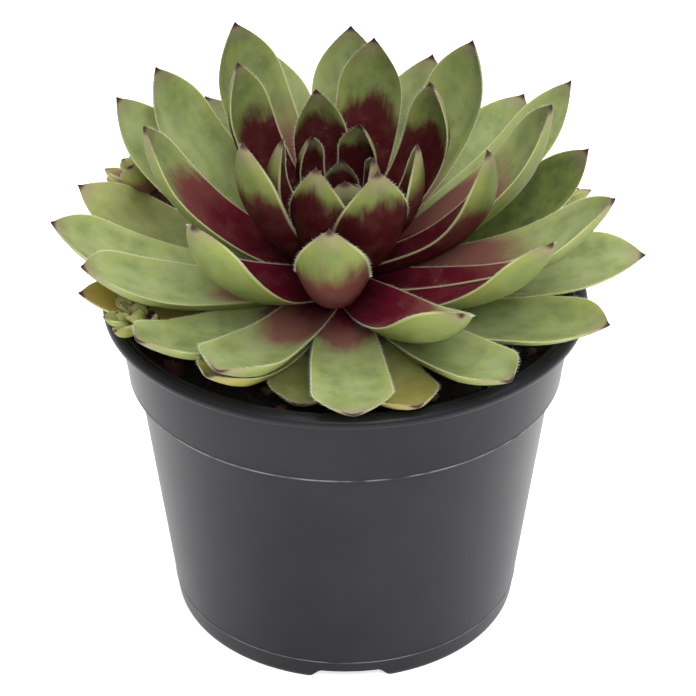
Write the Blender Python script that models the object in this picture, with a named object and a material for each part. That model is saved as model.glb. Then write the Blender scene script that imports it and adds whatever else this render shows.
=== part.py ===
"""Potted houseleek: a leaf rosette with three young offsets, rooted in the soil of a moulded nursery pot.

Metres, +Z up. The origin is on the surface that the pot stands on, at the middle of the whole
object's bounding box; the pieces are made round the pot's axis and moved there together at the end.
"""
import math

import bmesh
import bpy
import numpy as np
from mathutils import Matrix, Vector
from mathutils.bvhtree import BVHTree

MM = 0.001
CLEARANCE = 0.3 * MM
POT_AXIS_PLACE = Vector((0.0, 4.5 * MM, 0.0))

# Pot: a thin turned shell with a rolled lip, a stacking collar and a foot ring.
RIM_RADIUS = 52.5 * MM
RIM_HEIGHT = 77.0 * MM
LIP_DEPTH = 2.6 * MM
COLLAR_TOP_RADIUS = 49.6 * MM
COLLAR_FOOT_RADIUS = 47.6 * MM
COLLAR_FOOT_HEIGHT = 59.0 * MM
BODY_TOP_RADIUS = 45.7 * MM
BASE_RADIUS = 39.0 * MM
WALL = 1.1 * MM
FLOOR_UNDERSIDE = 2.6 * MM
FLOOR_THICKNESS = 1.2 * MM
FOOT_RING_WIDTH = 1.3 * MM
FOOT_EDGE = 0.3 * MM
COLLAR_STEP = 0.6 * MM
INNER_STEP_RISE = 1.2 * MM
FLOOR_COVE_WIDTH = 1.6 * MM
FLOOR_COVE_HEIGHT = 2.0 * MM
LIP_ROUND = 1.5 * MM
LIP_INNER_DROP = 0.9 * MM
POT_SIDES = 54
DRAIN_HOLE_RADIUS = 3.5 * MM
DRAIN_RING_RADIUS = 26.0 * MM
DRAIN_HOLES = 6
NOTCH_HALF_WIDTH = 6.5 * MM
NOTCH_HEIGHT = 2.3 * MM
NOTCH_SPLAY = 2.5 * MM
NOTCH_FLARE_HEIGHT = 0.15 * MM
NOTCHES = 3
FIRST_NOTCH_DEG = -88.5

# Soil: it fills the pot to a little under the lip, with a crumbly top.
SOIL_LEVEL = 68.5 * MM
SOIL_SIDES = 40
SOIL_RINGS = 8
SOIL_RELIEF = 1.3 * MM
STEM_HOLE_SIDES = 16

# Rosette: leaves follow one another round the stem by the golden angle, oldest lowest.
GOLDEN_ANGLE_DEG = 137.5
AGE_ZERO_AZIMUTH_DEG = -95.0
YOUNGEST = -24
OLDEST = 36
HEART_AGE = -16
LEAN_DEG = 10.0
LEAN_PIVOT = Vector((-1.0 * MM, 0.0, 76.0 * MM))
STEM_RADIUS = 7.5 * MM
STEM_FOOT = 52.0 * MM
STEM_SIDES = 16

# Outline of the main stem: (share of its radius, height).
STEM_OUTLINE = (
    (0.0, STEM_FOOT),
    (0.7, STEM_FOOT),
    (1.0, 56.0 * MM),
    (1.0, 74.0 * MM),
    (0.8, 80.0 * MM),
    (0.25, 88.0 * MM),
    (0.0, 88.0 * MM),
)

# How a leaf changes with its age: (age, lift of the blade in degrees, length from the stem's axis,
# greatest width, height of its foot), with what lies between read off straight lines.
GROWTH = (
    (-24, 86, 9 * MM, 3.0 * MM, 84.5 * MM),
    (-12, 75, 38 * MM, 11.0 * MM, 81.0 * MM),
    (0, 50, 56 * MM, 16.0 * MM, 79.0 * MM),
    (12, 27, 65 * MM, 17.0 * MM, 77.0 * MM),
    (24, 16, 63 * MM, 17.0 * MM, 75.5 * MM),
    (36, 9, 47 * MM, 14.0 * MM, 74.5 * MM),
)

# Leaves that grew a little off the rule: age: (turn in degrees, lift in degrees, longer by mm,
# wider by mm).
ON_THE_RULE = (0, 0, 0, 0)
DEPARTURES = {
    -19: (0, 0, 2, 0),
    -18: (0, 0, 2, 0),
    -14: (0, 0, 0, -2),
    -13: (0, 0, -4, -2),
    -12: (0, 4, -2, -1),
    -11: (0, 0, 0, -3),
    -10: (0, -4, 4, -3),
    -9: (2, 0, -1, 0),
    -8: (8, 2, 0, 1),
    -7: (0, 2, 4, -1),
    -6: (0, 4, 8, -1),
    -5: (-7, 4, 0, 2),
    -4: (0, 0, 2, 0),
    -3: (4, 7, 1, -2),
    -2: (0, -2, -4, -2),
    -1: (0, 0, 5, 1),
    0: (2, 0, 1, -1),
    1: (0, 2, 2, 0),
    2: (0, 0, 0, -2),
    3: (8, -10, 3, -2),
    4: (-8, 0, -2, 0),
    5: (-4, 4, 0, -1),
    6: (2, 4, 0, 2),
    7: (-2, 2, 0, 0),
    8: (12, -3, -1, -2),
    9: (4, -4, -4, 0),
    10: (6, -6, 0, -2),
    11: (6, 4, 4, 0),
    12: (-8, -6, 0, 0),
    13: (-6, -3, -1, -2),
    14: (2, 4, 3, -3),
    15: (-14, 8, -1, 0),
    16: (-2, -5, 0, -3),
    17: (0, -8, -4, 0),
    18: (6, 0, -2, -2),
    19: (-6, -5, 3, 2),
    20: (-12, -2, -4, 0),
    21: (0, 0, 1, -1),
    22: (-2, 0, 2, 0),
    23: (-2, 5, 2, 0),
    24: (4, 1, 3, 0),
    25: (0, -6, -4, 0),
    26: (2, 6, -1, -3),
    27: (6, 6, 4, -1),
    28: (4, -2, 6, 0),
    29: (-6, 3, 0, -1),
    30: (-14, 0, 6, 0),
    31: (-14, 0, 4, -2),
    32: (-16, -6, -12, 0),
    34: (0, 4, 0, 1),
}

# How far a leaf's tip turns up from its foot, in degrees, by age, and the leaves that differ.
CURL = ((-20, 35), (-10, 50), (-2, 62), (5, 66), (10, 58), (16, 48), (24, 40), (36, 25))
OWN_CURL = {
    -14: 60,
    -11: 70,
    -8: 65,
    -7: 70,
    -6: 48,
    -5: 65,
    -3: 46,
    -2: 85,
    0: 70,
    2: 58,
    3: 56,
    5: 56,
    8: 42,
    10: 32,
    11: 45,
    13: 25,
    16: 20,
    18: 34,
    19: 14,
    21: 6,
    24: 20,
    27: 55,
}

# Rise of the margins as a share of the width, by age, and the leaves that differ; some are dished
# less at the foot, by this share of the dish at their tip.
CUP = ((-20, 0.28), (0, 0.2), (20, 0.12))
OWN_CUP = {0: 0.3, 2: 0.22, 3: 0.25, 5: 0.25, 8: 0.25, 10: 0.18, 13: 0.2, 16: 0.2}
CUP_AT_FOOT = {2: 0.2, 3: 0.2, 5: 0.2, 8: 0.2}

# Where the blade is widest, as a share of its length, by age, and the leaves that differ.
SHOULDER = ((-10, 0.7), (12, 0.7), (20, 0.74), (36, 0.76))
OWN_SHOULDER = {-9: 0.62, -8: 0.5, -5: 0.55, 0: 0.6, 8: 0.6, 10: 0.76, 13: 0.84, 16: 0.82, 18: 0.8, 21: 0.84}

# Width of the blade's foot as a share of its greatest, and the leaves that differ.
FOOT_WIDTH = 0.55
OWN_FOOT_WIDTH = {-8: 0.8, -5: 0.9, 0: 0.85}

# Leaves rolled about their middle line, in degrees at the foot and at the tip.
OWN_ROLL = {
    -11: (-20, -20),
    -10: (30, 30),
    -7: (20, 20),
    -6: (-15, -15),
    -2: (-12, -12),
    2: (-8, 0),
    3: (35, -25),
    5: (-25, 5),
    6: (-12, -12),
    8: (35, -30),
    10: (0, -5),
}

# Thickness of the blade by age.
THICKNESS = ((-24, 1.4 * MM), (-10, 2.6 * MM), (10, 3.2 * MM))

# Shares of the blade's length that its sections stand at, from foot to tip.
LEAF_ROWS = (0.0, 0.28, 0.53, 0.74, 0.88, 0.965)
YOUNG_LEAF_ROWS = (0.0, 0.4, 0.75, 0.93)
ROOT_INSET = 4.0 * MM

# Section of a leaf, as shares: a point on each side of the dished upper face, (across, up the dish),
# and on each side of the underside, (across, up the dish, down the thickness).
UPPER_POINT = (0.55, 0.25)
UNDER_POINT = (0.6, 0.35, 0.75)

# Offsets on their own short stems: name: (stem's place, centre of the leaves, length of the oldest
# leaf, number of leaves, first azimuth in degrees).
OFFSETS = {
    "offset_front_left": ((-36.0, -20.0), (-41.0, -20.5, 81.0), 11.0, 18, 200),
    "offset_back_left": ((-35.0, 22.0), (-43.0, 28.0, 86.0), 17.0, 14, 190),
    "offset_back_right": ((37.0, 18.0), (42.5, 23.0, 85.0), 15.0, 14, 60),
}
OFFSET_STEM_RADIUS = 2.2 * MM
OFFSET_STEM_FOOT = 60.0 * MM
OFFSET_STEM_BEND = 72.5 * MM
OFFSET_STEM_SIDES = 10

# Leaves of an offset, from its youngest to its oldest: length as a share of the longest, width as a
# share of the length, thickness, and lift in degrees. The youngest stand highest on the stem.
OFFSET_LENGTH = (0.4, 1.0)
OFFSET_WIDTH = (0.5, 0.42)
OFFSET_THICKNESS = (1.2 * MM, 1.7 * MM)
OFFSET_LIFT_DEG = (82.0, 24.0)
OFFSET_RISE = 1.0 * MM
OFFSET_CUP = 0.25
OFFSET_CURL_DEG = 40
OFFSET_SHOULDER = 0.7

# Colours, linear, for the solids.
POT_BLACK = (0.045, 0.046, 0.05)
PEAT = (0.02, 0.014, 0.01)
GREEN = (0.23, 0.3, 0.1)
YOUNG_GREEN = (0.3, 0.34, 0.1)


def growth(age, column):
    """Value of one growth column at an age."""
    return float(np.interp(age, [row[0] for row in GROWTH], [row[column] for row in GROWTH]))


def by_age(age, steps, own=None):
    """Value for a leaf's age from (age, value) steps, or the leaf's own value where it differs."""
    if own and age in own:
        return own[age]
    return float(np.interp(age, [step[0] for step in steps], [step[1] for step in steps]))


def between(pair, share):
    """Value between a pair, by a share."""
    return pair[0] + share * (pair[1] - pair[0])


def blade_width(along, shoulder, foot_width):
    """Width of the blade as a share of its greatest, at a share of its length."""
    if along < shoulder:
        rise = along / shoulder
        return foot_width + (1 - foot_width) * math.sin(rise * math.pi / 2) ** 1.3
    fall = (along - shoulder) / (1 - shoulder)
    return (1 - fall ** 2.8) * (1 - 0.25 * fall ** 4)


def blade_thickness(along):
    """Thickness of the blade as a share of its greatest."""
    swell = 0.65 + 0.35 * math.sin(math.pi * min(along / 0.9, 1.0))
    return swell * min(1.0, ((1 - along) / 0.28) ** 0.6 + 0.05)


def section(half_width, dish, thickness, full):
    """Points round one section of a leaf: across the blade, then square to it, dished on top."""
    upper = [(-half_width, dish), (0.0, 0.0), (half_width, dish)]
    if full:
        across, lift = UPPER_POINT[0] * half_width, UPPER_POINT[1] * dish
        upper.insert(1, (-across, lift))
        upper.insert(3, (across, lift))
    across = UNDER_POINT[0] * half_width
    lift = UNDER_POINT[1] * dish - UNDER_POINT[2] * thickness
    return upper + [(across, lift), (0.0, -thickness), (-across, lift)]


def middle_line(blade, curl, steps=20):
    """Points and slopes of a leaf's middle line, which bends up more towards its tip, along +X."""
    slopes = [curl * (i / steps) ** 2 for i in range(steps + 1)]
    points = [Vector((0.0, 0.0, 0.0))]
    for i in range(steps):
        slope = (slopes[i] + slopes[i + 1]) / 2
        points.append(points[-1] + Vector((math.cos(slope), 0.0, math.sin(slope))))
    chord = math.atan2(points[-1].z, points[-1].x)
    level = Matrix.Rotation(chord, 3, "Y") * (blade / points[-1].length)
    return [level @ point for point in points], [slope - chord for slope in slopes]


def on_line(line, slopes, along):
    """Place and slope on a middle line at a share of its length."""
    reach = along * (len(line) - 1)
    i = min(int(reach), len(line) - 2)
    part = reach - i
    return line[i].lerp(line[i + 1], part), slopes[i] + part * (slopes[i + 1] - slopes[i])


def leaf_mesh(name, form, rows):
    """Closed mesh of one leaf: its foot at the origin, growing along +X, its upper face to +Z."""
    blade = form["length"] - form["inset"]
    inset = Vector((form["inset"], 0.0, 0.0))
    mesh = bmesh.new()
    rings = []
    line, slopes = middle_line(blade, math.radians(form["curl"]))
    for along in rows:
        place, angle = on_line(line, slopes, along)
        half_width = form["width"] / 2 * blade_width(along, form["shoulder"], form["foot_width"])
        dish = form["cup"] * 2 * half_width * between((form["cup_at_foot"], 1.0), along)
        thickness = form["thickness"] * blade_thickness(along)
        roll = math.radians(between(form["roll"], along))
        turn = Matrix.Rotation(-angle, 3, "Y") @ Matrix.Rotation(roll, 3, "X")
        ring = []
        for across, lift in section(half_width, dish, thickness, full=rows is LEAF_ROWS):
            ring.append(mesh.verts.new(place + inset + turn @ Vector((0.0, across, lift))))
        rings.append(ring)
    tip = mesh.verts.new(line[-1] + inset)
    for near, far in zip(rings, rings[1:]):
        count = len(near)
        for i in range(count):
            j = (i + 1) % count
            mesh.faces.new((near[i], far[i], far[j]))
            mesh.faces.new((near[i], far[j], near[j]))
    last = rings[-1]
    for i, vertex in enumerate(last):
        mesh.faces.new((vertex, tip, last[(i + 1) % len(last)]))
    mesh.faces.new(rings[0])
    bmesh.ops.recalc_face_normals(mesh, faces=mesh.faces)
    data = bpy.data.meshes.new(name)
    mesh.to_mesh(data)
    mesh.free()
    return data


def material(name, colour, roughness):
    """Material with one colour and roughness."""
    made = bpy.data.materials.new(name)
    made.use_nodes = True
    shader = made.node_tree.nodes["Principled BSDF"]
    shader.inputs["Base Color"].default_value = (*colour, 1.0)
    shader.inputs["Roughness"].default_value = roughness
    shader.inputs["Metallic"].default_value = 0.0
    return made


def add_object(name, data, surface=None):
    """Object for a mesh, in the scene."""
    thing = bpy.data.objects.new(name, data)
    bpy.context.scene.collection.objects.link(thing)
    if surface:
        data.materials.append(surface)
    return thing


def turned_mesh(name, profile, sides):
    """Mesh of revolution round Z from a profile of (radius, height) points that may touch the axis."""
    mesh = bmesh.new()
    closed = profile[0][0] > 0
    points = [mesh.verts.new((radius, 0.0, height)) for radius, height in profile]
    edges = [mesh.edges.new(pair) for pair in zip(points, points[1:])]
    if closed:
        edges.append(mesh.edges.new((points[-1], points[0])))
    bmesh.ops.spin(mesh, geom=points + edges, axis=(0, 0, 1), cent=(0, 0, 0), angle=2 * math.pi,
                   steps=sides, use_merge=True)
    bmesh.ops.remove_doubles(mesh, verts=mesh.verts, dist=0.001 * MM)
    bmesh.ops.recalc_face_normals(mesh, faces=mesh.faces)
    data = bpy.data.meshes.new(name)
    mesh.to_mesh(data)
    mesh.free()
    return data


def smooth(thing, angle_deg=40):
    """Smooth shading with the real edges kept sharp."""
    thing.data.shade_smooth()
    thing.data.set_sharp_from_angle(angle=math.radians(angle_deg))


def evaluated(thing):
    """New mesh with the object's modifiers applied."""
    graph = bpy.context.evaluated_depsgraph_get()
    return bpy.data.meshes.new_from_object(thing.evaluated_get(graph))


def outer_skin(data):
    """The mesh without the small skins of hollows that joining closed, which fills them."""
    mesh = bmesh.new()
    mesh.from_mesh(data)
    left = set(mesh.verts)
    skins = []
    while left:
        skin = set()
        reach = [left.pop()]
        while reach:
            vertex = reach.pop()
            skin.add(vertex)
            near = {edge.other_vert(vertex) for edge in vertex.link_edges} & left
            left -= near
            reach.extend(near)
        skins.append(skin)
    skins.sort(key=len)
    for skin in skins[:-1]:
        bmesh.ops.delete(mesh, geom=list(skin), context="VERTS")
    mesh.to_mesh(data)
    mesh.free()
    return data


def join_repeats(base, parts, solver="EXACT"):
    """Unites the parts with the base in one Boolean, then removes them."""
    group = bpy.data.collections.new(base.name + "_parts")
    bpy.context.scene.collection.children.link(group)
    for part in parts:
        bpy.context.scene.collection.objects.unlink(part)
        group.objects.link(part)
    union = base.modifiers.new("join", "BOOLEAN")
    union.operation = "UNION"
    union.operand_type = "COLLECTION"
    union.collection = group
    union.solver = solver
    joined = outer_skin(evaluated(base))
    base.modifiers.remove(union)
    base.data = joined
    for part in parts:
        bpy.data.objects.remove(part)
    bpy.data.collections.remove(group)


def cut(thing, cutters):
    """Cuts the cutters' shapes out of an object, one after another."""
    for cutter in cutters:
        cutter.hide_render = True
        cutter.display_type = "WIRE"
        slot = thing.modifiers.new("cut " + cutter.name, "BOOLEAN")
        slot.operation = "DIFFERENCE"
        slot.object = cutter
        slot.solver = "EXACT"


def merged_cutter(name, meshes_and_places):
    """One cutter object from several separate meshes, each with its own matrix."""
    mesh = bmesh.new()
    for data, place in meshes_and_places:
        start = len(mesh.verts)
        mesh.from_mesh(data)
        mesh.verts.ensure_lookup_table()
        for vertex in mesh.verts[start:]:
            vertex.co = place @ vertex.co
    joined = bpy.data.meshes.new(name)
    mesh.to_mesh(joined)
    mesh.free()
    return add_object(name, joined)


def rod_mesh(name, radius, low, high, sides):
    """Closed upright rod on the Z axis."""
    return turned_mesh(name, [(0, low), (radius, low), (radius, high), (0, high)], sides)


def collar_radius(height):
    """Outer radius of the collar at a height."""
    share = (height - COLLAR_FOOT_HEIGHT) / (RIM_HEIGHT - LIP_DEPTH - COLLAR_FOOT_HEIGHT)
    return COLLAR_FOOT_RADIUS + share * (COLLAR_TOP_RADIUS - COLLAR_FOOT_RADIUS)


def body_radius(height):
    """Outer radius of the tapered body at a height."""
    return BASE_RADIUS + height / COLLAR_FOOT_HEIGHT * (BODY_TOP_RADIUS - BASE_RADIUS)


def make_pot():
    """Turned shell with drain holes in its raised floor and notches in its foot ring."""
    lip_foot = RIM_HEIGHT - LIP_DEPTH
    floor_top = FLOOR_UNDERSIDE + FLOOR_THICKNESS
    edge = 0.2 * MM
    profile = [
        (0.0, FLOOR_UNDERSIDE),
        (body_radius(FLOOR_UNDERSIDE) - FOOT_RING_WIDTH, FLOOR_UNDERSIDE),
        (BASE_RADIUS - FOOT_RING_WIDTH, 0.0),
        (BASE_RADIUS - FOOT_EDGE, 0.0),
        (body_radius(2 * edge), 2 * edge),
        (BODY_TOP_RADIUS, COLLAR_FOOT_HEIGHT - COLLAR_STEP),
        (COLLAR_FOOT_RADIUS - COLLAR_STEP, COLLAR_FOOT_HEIGHT - edge),
        (COLLAR_FOOT_RADIUS, COLLAR_FOOT_HEIGHT + 2 * edge),
        (COLLAR_TOP_RADIUS, lip_foot - edge / 2),
        (RIM_RADIUS - LIP_ROUND, lip_foot),
        (RIM_RADIUS - FOOT_EDGE, lip_foot + 3 * edge),
        (RIM_RADIUS, lip_foot + LIP_ROUND),
        (RIM_RADIUS - 3 * edge, RIM_HEIGHT - edge),
        (RIM_RADIUS - 8 * edge, RIM_HEIGHT),
        (COLLAR_TOP_RADIUS - 2 * edge, RIM_HEIGHT - edge),
        (collar_radius(lip_foot) - WALL, RIM_HEIGHT - LIP_INNER_DROP),
        (collar_radius(COLLAR_FOOT_HEIGHT) - WALL, COLLAR_FOOT_HEIGHT + INNER_STEP_RISE),
        (BODY_TOP_RADIUS - WALL, COLLAR_FOOT_HEIGHT - edge),
        (body_radius(floor_top + FLOOR_COVE_HEIGHT) - WALL, floor_top + FLOOR_COVE_HEIGHT),
        (body_radius(floor_top) - WALL - FLOOR_COVE_WIDTH, floor_top),
        (0.0, floor_top),
    ]
    surface = material("pot_plastic", POT_BLACK, 0.42)
    pot = add_object("pot", turned_mesh("pot", profile, POT_SIDES), surface)
    hole = rod_mesh("hole", DRAIN_HOLE_RADIUS, 0.0, 2 * floor_top, 12)
    holes = [(hole, Matrix.Identity(4))]
    for i in range(DRAIN_HOLES):
        turn = Matrix.Rotation(2 * math.pi * (i + 0.5) / DRAIN_HOLES, 4, "Z")
        holes.append((hole, turn @ Matrix.Translation((DRAIN_RING_RADIUS, 0, 0))))
    notches = []
    for i in range(NOTCHES):
        turn = Matrix.Rotation(math.radians(FIRST_NOTCH_DEG) + 2 * math.pi * i / NOTCHES, 4, "Z")
        notches.append((notch_mesh(), turn))
    cut(pot, [merged_cutter("drain_holes", holes), merged_cutter("foot_notches", notches)])
    smooth(pot)
    return pot


def notch_mesh():
    """Cutter for one notch: a flat arch with slanted sides, across the foot ring at +X."""
    inner = BASE_RADIUS - 4 * FOOT_RING_WIDTH
    outer = BASE_RADIUS + 3 * MM
    outline = (
        (-NOTCH_HALF_WIDTH - NOTCH_SPLAY, -1.0 * MM),
        (-NOTCH_HALF_WIDTH - NOTCH_SPLAY, NOTCH_FLARE_HEIGHT),
        (-NOTCH_HALF_WIDTH, NOTCH_HEIGHT),
        (NOTCH_HALF_WIDTH, NOTCH_HEIGHT),
        (NOTCH_HALF_WIDTH + NOTCH_SPLAY, NOTCH_FLARE_HEIGHT),
        (NOTCH_HALF_WIDTH + NOTCH_SPLAY, -1.0 * MM),
    )
    mesh = bmesh.new()
    near = [mesh.verts.new((inner, y, z)) for y, z in outline]
    far = [mesh.verts.new((outer, y, z)) for y, z in outline]
    mesh.faces.new(near)
    mesh.faces.new(far)
    for i in range(len(outline)):
        j = (i + 1) % len(outline)
        mesh.faces.new((near[i], near[j], far[j], far[i]))
    bmesh.ops.recalc_face_normals(mesh, faces=mesh.faces)
    data = bpy.data.meshes.new("notch")
    mesh.to_mesh(data)
    mesh.free()
    return data


def soil_height(x, y):
    """Height of the crumbly soil at a place: a few waves that don't line up."""
    u, v = x / MM, y / MM
    lumps = math.sin(0.31 * u + 1.7) * math.cos(0.27 * v - 0.6) + 0.6 * math.sin(0.53 * v + 0.4 * u)
    return SOIL_LEVEL + SOIL_RELIEF * (0.55 * lumps + 0.35 * math.sin(0.83 * u - 0.71 * v))


def soil_radius(height):
    """Radius of the soil body at a height, just clear of the pot's inside."""
    if height > COLLAR_FOOT_HEIGHT + INNER_STEP_RISE:
        return collar_radius(height) - WALL - CLEARANCE
    return body_radius(height) - WALL - CLEARANCE


def make_soil(stems):
    """Soil body with a plain hole for each stem, given as (centre, radius, foot height)."""
    low = FLOOR_UNDERSIDE + FLOOR_THICKNESS + CLEARANCE
    cove_top = low + FLOOR_COVE_HEIGHT
    step_foot = COLLAR_FOOT_HEIGHT - 0.4 * MM
    step_top = COLLAR_FOOT_HEIGHT + INNER_STEP_RISE + 0.4 * MM
    mesh = bmesh.new()
    rings = []

    def ring_at(radius, height):
        ring = []
        for i in range(SOIL_SIDES):
            angle = 2 * math.pi * i / SOIL_SIDES
            x, y = radius * math.cos(angle), radius * math.sin(angle)
            ring.append(mesh.verts.new((x, y, height(x, y) if callable(height) else height)))
        return ring

    chord = math.cos(math.pi / POT_SIDES)
    rings.append(ring_at((soil_radius(low) - FLOOR_COVE_WIDTH) * chord, low))
    for height in (cove_top, step_foot, step_top):
        rings.append(ring_at(soil_radius(height) * chord, height))
    edge = soil_radius(SOIL_LEVEL - 2 * MM) * chord
    for i in range(SOIL_RINGS):
        rings.append(ring_at(edge * (1 - i / SOIL_RINGS) ** 0.8, soil_height))
    top = mesh.verts.new((0, 0, soil_height(0, 0)))
    bottom = mesh.verts.new((0, 0, low))
    for near, far in zip(rings, rings[1:]):
        for i in range(SOIL_SIDES):
            j = (i + 1) % SOIL_SIDES
            mesh.faces.new((near[i], near[j], far[j], far[i]))
    for i in range(SOIL_SIDES):
        j = (i + 1) % SOIL_SIDES
        mesh.faces.new((rings[-1][i], rings[-1][j], top))
        mesh.faces.new((rings[0][j], rings[0][i], bottom))
    bmesh.ops.recalc_face_normals(mesh, faces=mesh.faces)
    data = bpy.data.meshes.new("soil")
    mesh.to_mesh(data)
    mesh.free()
    soil = add_object("soil", data, material("potting_soil", PEAT, 0.95))
    holes = []
    for centre, radius, foot in stems:
        rod = rod_mesh("stem_hole", radius + CLEARANCE, foot - CLEARANCE, 1.2 * SOIL_LEVEL, STEM_HOLE_SIDES)
        holes.append((rod, Matrix.Translation((centre[0], centre[1], 0.0))))
    cut(soil, [merged_cutter("stem_holes", holes)])
    smooth(soil)
    return soil


def leaf_turn(azimuth_deg, lift_deg):
    """Turn that points a leaf along +X outwards and up."""
    azimuth = Matrix.Rotation(math.radians(azimuth_deg), 4, "Z")
    return azimuth @ Matrix.Rotation(-math.radians(lift_deg), 4, "Y")


def leaf_form(age):
    """Sizes and form of the main rosette's leaf of an age."""
    _, _, longer, wider = DEPARTURES.get(age, ON_THE_RULE)
    return {
        "length": growth(age, 2) + longer * MM,
        "width": growth(age, 3) + wider * MM,
        "thickness": by_age(age, THICKNESS),
        "cup": by_age(age, CUP, OWN_CUP),
        "cup_at_foot": CUP_AT_FOOT.get(age, 1.0),
        "curl": by_age(age, CURL, OWN_CURL),
        "roll": OWN_ROLL.get(age, (0, 0)),
        "shoulder": by_age(age, SHOULDER, OWN_SHOULDER),
        "foot_width": OWN_FOOT_WIDTH.get(age, FOOT_WIDTH),
        "inset": ROOT_INSET,
    }


def make_main_rosette():
    """The grown rosette: its short stem and every leaf, joined in one solid."""
    green = material("leaf_green", GREEN, 0.5)
    outline = [(share * STEM_RADIUS, height) for share, height in STEM_OUTLINE]
    rosette = add_object("main_rosette", turned_mesh("main_rosette", outline, STEM_SIDES), green)
    lean = Matrix.Translation(LEAN_PIVOT) @ Matrix.Rotation(math.radians(LEAN_DEG), 4, "X")
    leaves = []
    for age in range(YOUNGEST, OLDEST + 1):
        turn, lift, _, _ = DEPARTURES.get(age, ON_THE_RULE)
        azimuth = AGE_ZERO_AZIMUTH_DEG + GOLDEN_ANGLE_DEG * age + turn
        foot = Matrix.Translation((0.0, 0.0, growth(age, 4) - LEAN_PIVOT.z))
        rows = LEAF_ROWS if age > HEART_AGE else YOUNG_LEAF_ROWS
        leaf = add_object(f"leaf_{age}", leaf_mesh(f"leaf_{age}", leaf_form(age), rows), green)
        leaf.matrix_world = lean @ foot @ leaf_turn(azimuth, growth(age, 1) + lift)
        leaves.append(leaf)
    bpy.context.view_layer.update()
    join_repeats(rosette, leaves)
    smooth(rosette)
    return rosette


def skin_tree(thing):
    """Search tree of an object's surface in the world."""
    mesh = bmesh.new()
    mesh.from_mesh(thing.data)
    mesh.transform(thing.matrix_world)
    tree = BVHTree.FromBMesh(mesh)
    mesh.free()
    return tree


def make_offset(name, neighbours):
    """A young rosette on its own stem; a leaf that would meet a neighbour isn't grown."""
    stem_place, centre, longest, count, first_deg = OFFSETS[name]
    bend = Vector((stem_place[0] * MM, stem_place[1] * MM, OFFSET_STEM_BEND))
    heart = Vector(centre) * MM
    green = material(name + "_green", YOUNG_GREEN, 0.5)
    stem = rod_mesh(name, OFFSET_STEM_RADIUS, OFFSET_STEM_FOOT, bend.z + MM, OFFSET_STEM_SIDES)
    stem.transform(Matrix.Translation((bend.x, bend.y, 0.0)))
    offset = add_object(name, stem, green)
    axis = heart - bend
    to_axis = axis.to_track_quat("Z", "Y").to_matrix().to_4x4()
    neck = rod_mesh("neck", OFFSET_STEM_RADIUS, -MM, axis.length + 2 * MM, OFFSET_STEM_SIDES)
    neck = add_object(name + "_neck", neck, green)
    neck.matrix_world = Matrix.Translation(bend) @ to_axis
    parts = [neck]
    for i in range(count):
        share = i / (count - 1)
        length = longest * MM * between(OFFSET_LENGTH, share ** 0.8)
        form = {
            "length": length,
            "width": length * between(OFFSET_WIDTH, share),
            "thickness": between(OFFSET_THICKNESS, share),
            "cup": OFFSET_CUP,
            "cup_at_foot": 1.0,
            "curl": OFFSET_CURL_DEG,
            "roll": (0, 0),
            "shoulder": OFFSET_SHOULDER,
            "foot_width": FOOT_WIDTH,
            "inset": OFFSET_STEM_RADIUS / 2,
        }
        leaf = add_object(f"{name}_leaf_{i}", leaf_mesh(f"{name}_leaf_{i}", form, YOUNG_LEAF_ROWS), green)
        turn = leaf_turn(first_deg + GOLDEN_ANGLE_DEG * i, between(OFFSET_LIFT_DEG, share ** 0.7))
        rise = (1 - share) * OFFSET_RISE * axis.normalized()
        leaf.matrix_world = Matrix.Translation(heart + rise) @ to_axis @ turn
        bpy.context.view_layer.update()
        if any(skin_tree(leaf).overlap(tree) for tree in neighbours):
            bpy.data.objects.remove(leaf)
        else:
            parts.append(leaf)
    bpy.context.view_layer.update()
    join_repeats(offset, parts)
    smooth(offset)
    return offset


def main():
    for thing in list(bpy.data.objects):
        bpy.data.objects.remove(thing)
    pot = make_pot()
    stems = [((0.0, 0.0), STEM_RADIUS, STEM_FOOT)]
    for place, *_ in OFFSETS.values():
        stems.append(((place[0] * MM, place[1] * MM), OFFSET_STEM_RADIUS, OFFSET_STEM_FOOT))
    make_soil(stems)
    rosette = make_main_rosette()
    neighbours = [skin_tree(pot), skin_tree(rosette)]
    for name in OFFSETS:
        make_offset(name, neighbours)
    for thing in bpy.data.objects:
        thing.location += POT_AXIS_PLACE


main()
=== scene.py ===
"""Potted houseleek: the looks of its leaves, hairs, pot and soil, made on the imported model."""
import math

import bmesh
import bpy
import numpy as np
from bpy.props import FloatProperty, FloatVectorProperty, IntProperty, PointerProperty
from bpy.types import Operator, Panel, PropertyGroup
from mathutils import Matrix, Vector, noise
from mathutils.bvhtree import BVHTree


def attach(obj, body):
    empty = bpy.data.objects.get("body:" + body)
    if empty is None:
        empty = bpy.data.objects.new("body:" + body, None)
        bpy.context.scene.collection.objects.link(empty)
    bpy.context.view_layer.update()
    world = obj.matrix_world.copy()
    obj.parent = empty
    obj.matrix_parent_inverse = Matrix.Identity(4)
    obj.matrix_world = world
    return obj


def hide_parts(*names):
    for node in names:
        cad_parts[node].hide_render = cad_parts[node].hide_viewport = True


bl_info = {
    "name": "Potted Houseleek",
    "version": (1, 0, 0),
    "blender": (4, 5, 0),
    "location": "View3D > Sidebar > Houseleek",
    "description": "Fleshy leaves with hairy margins, moulded pot and soil of a potted houseleek",
    "category": "Add Mesh",
}

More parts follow.
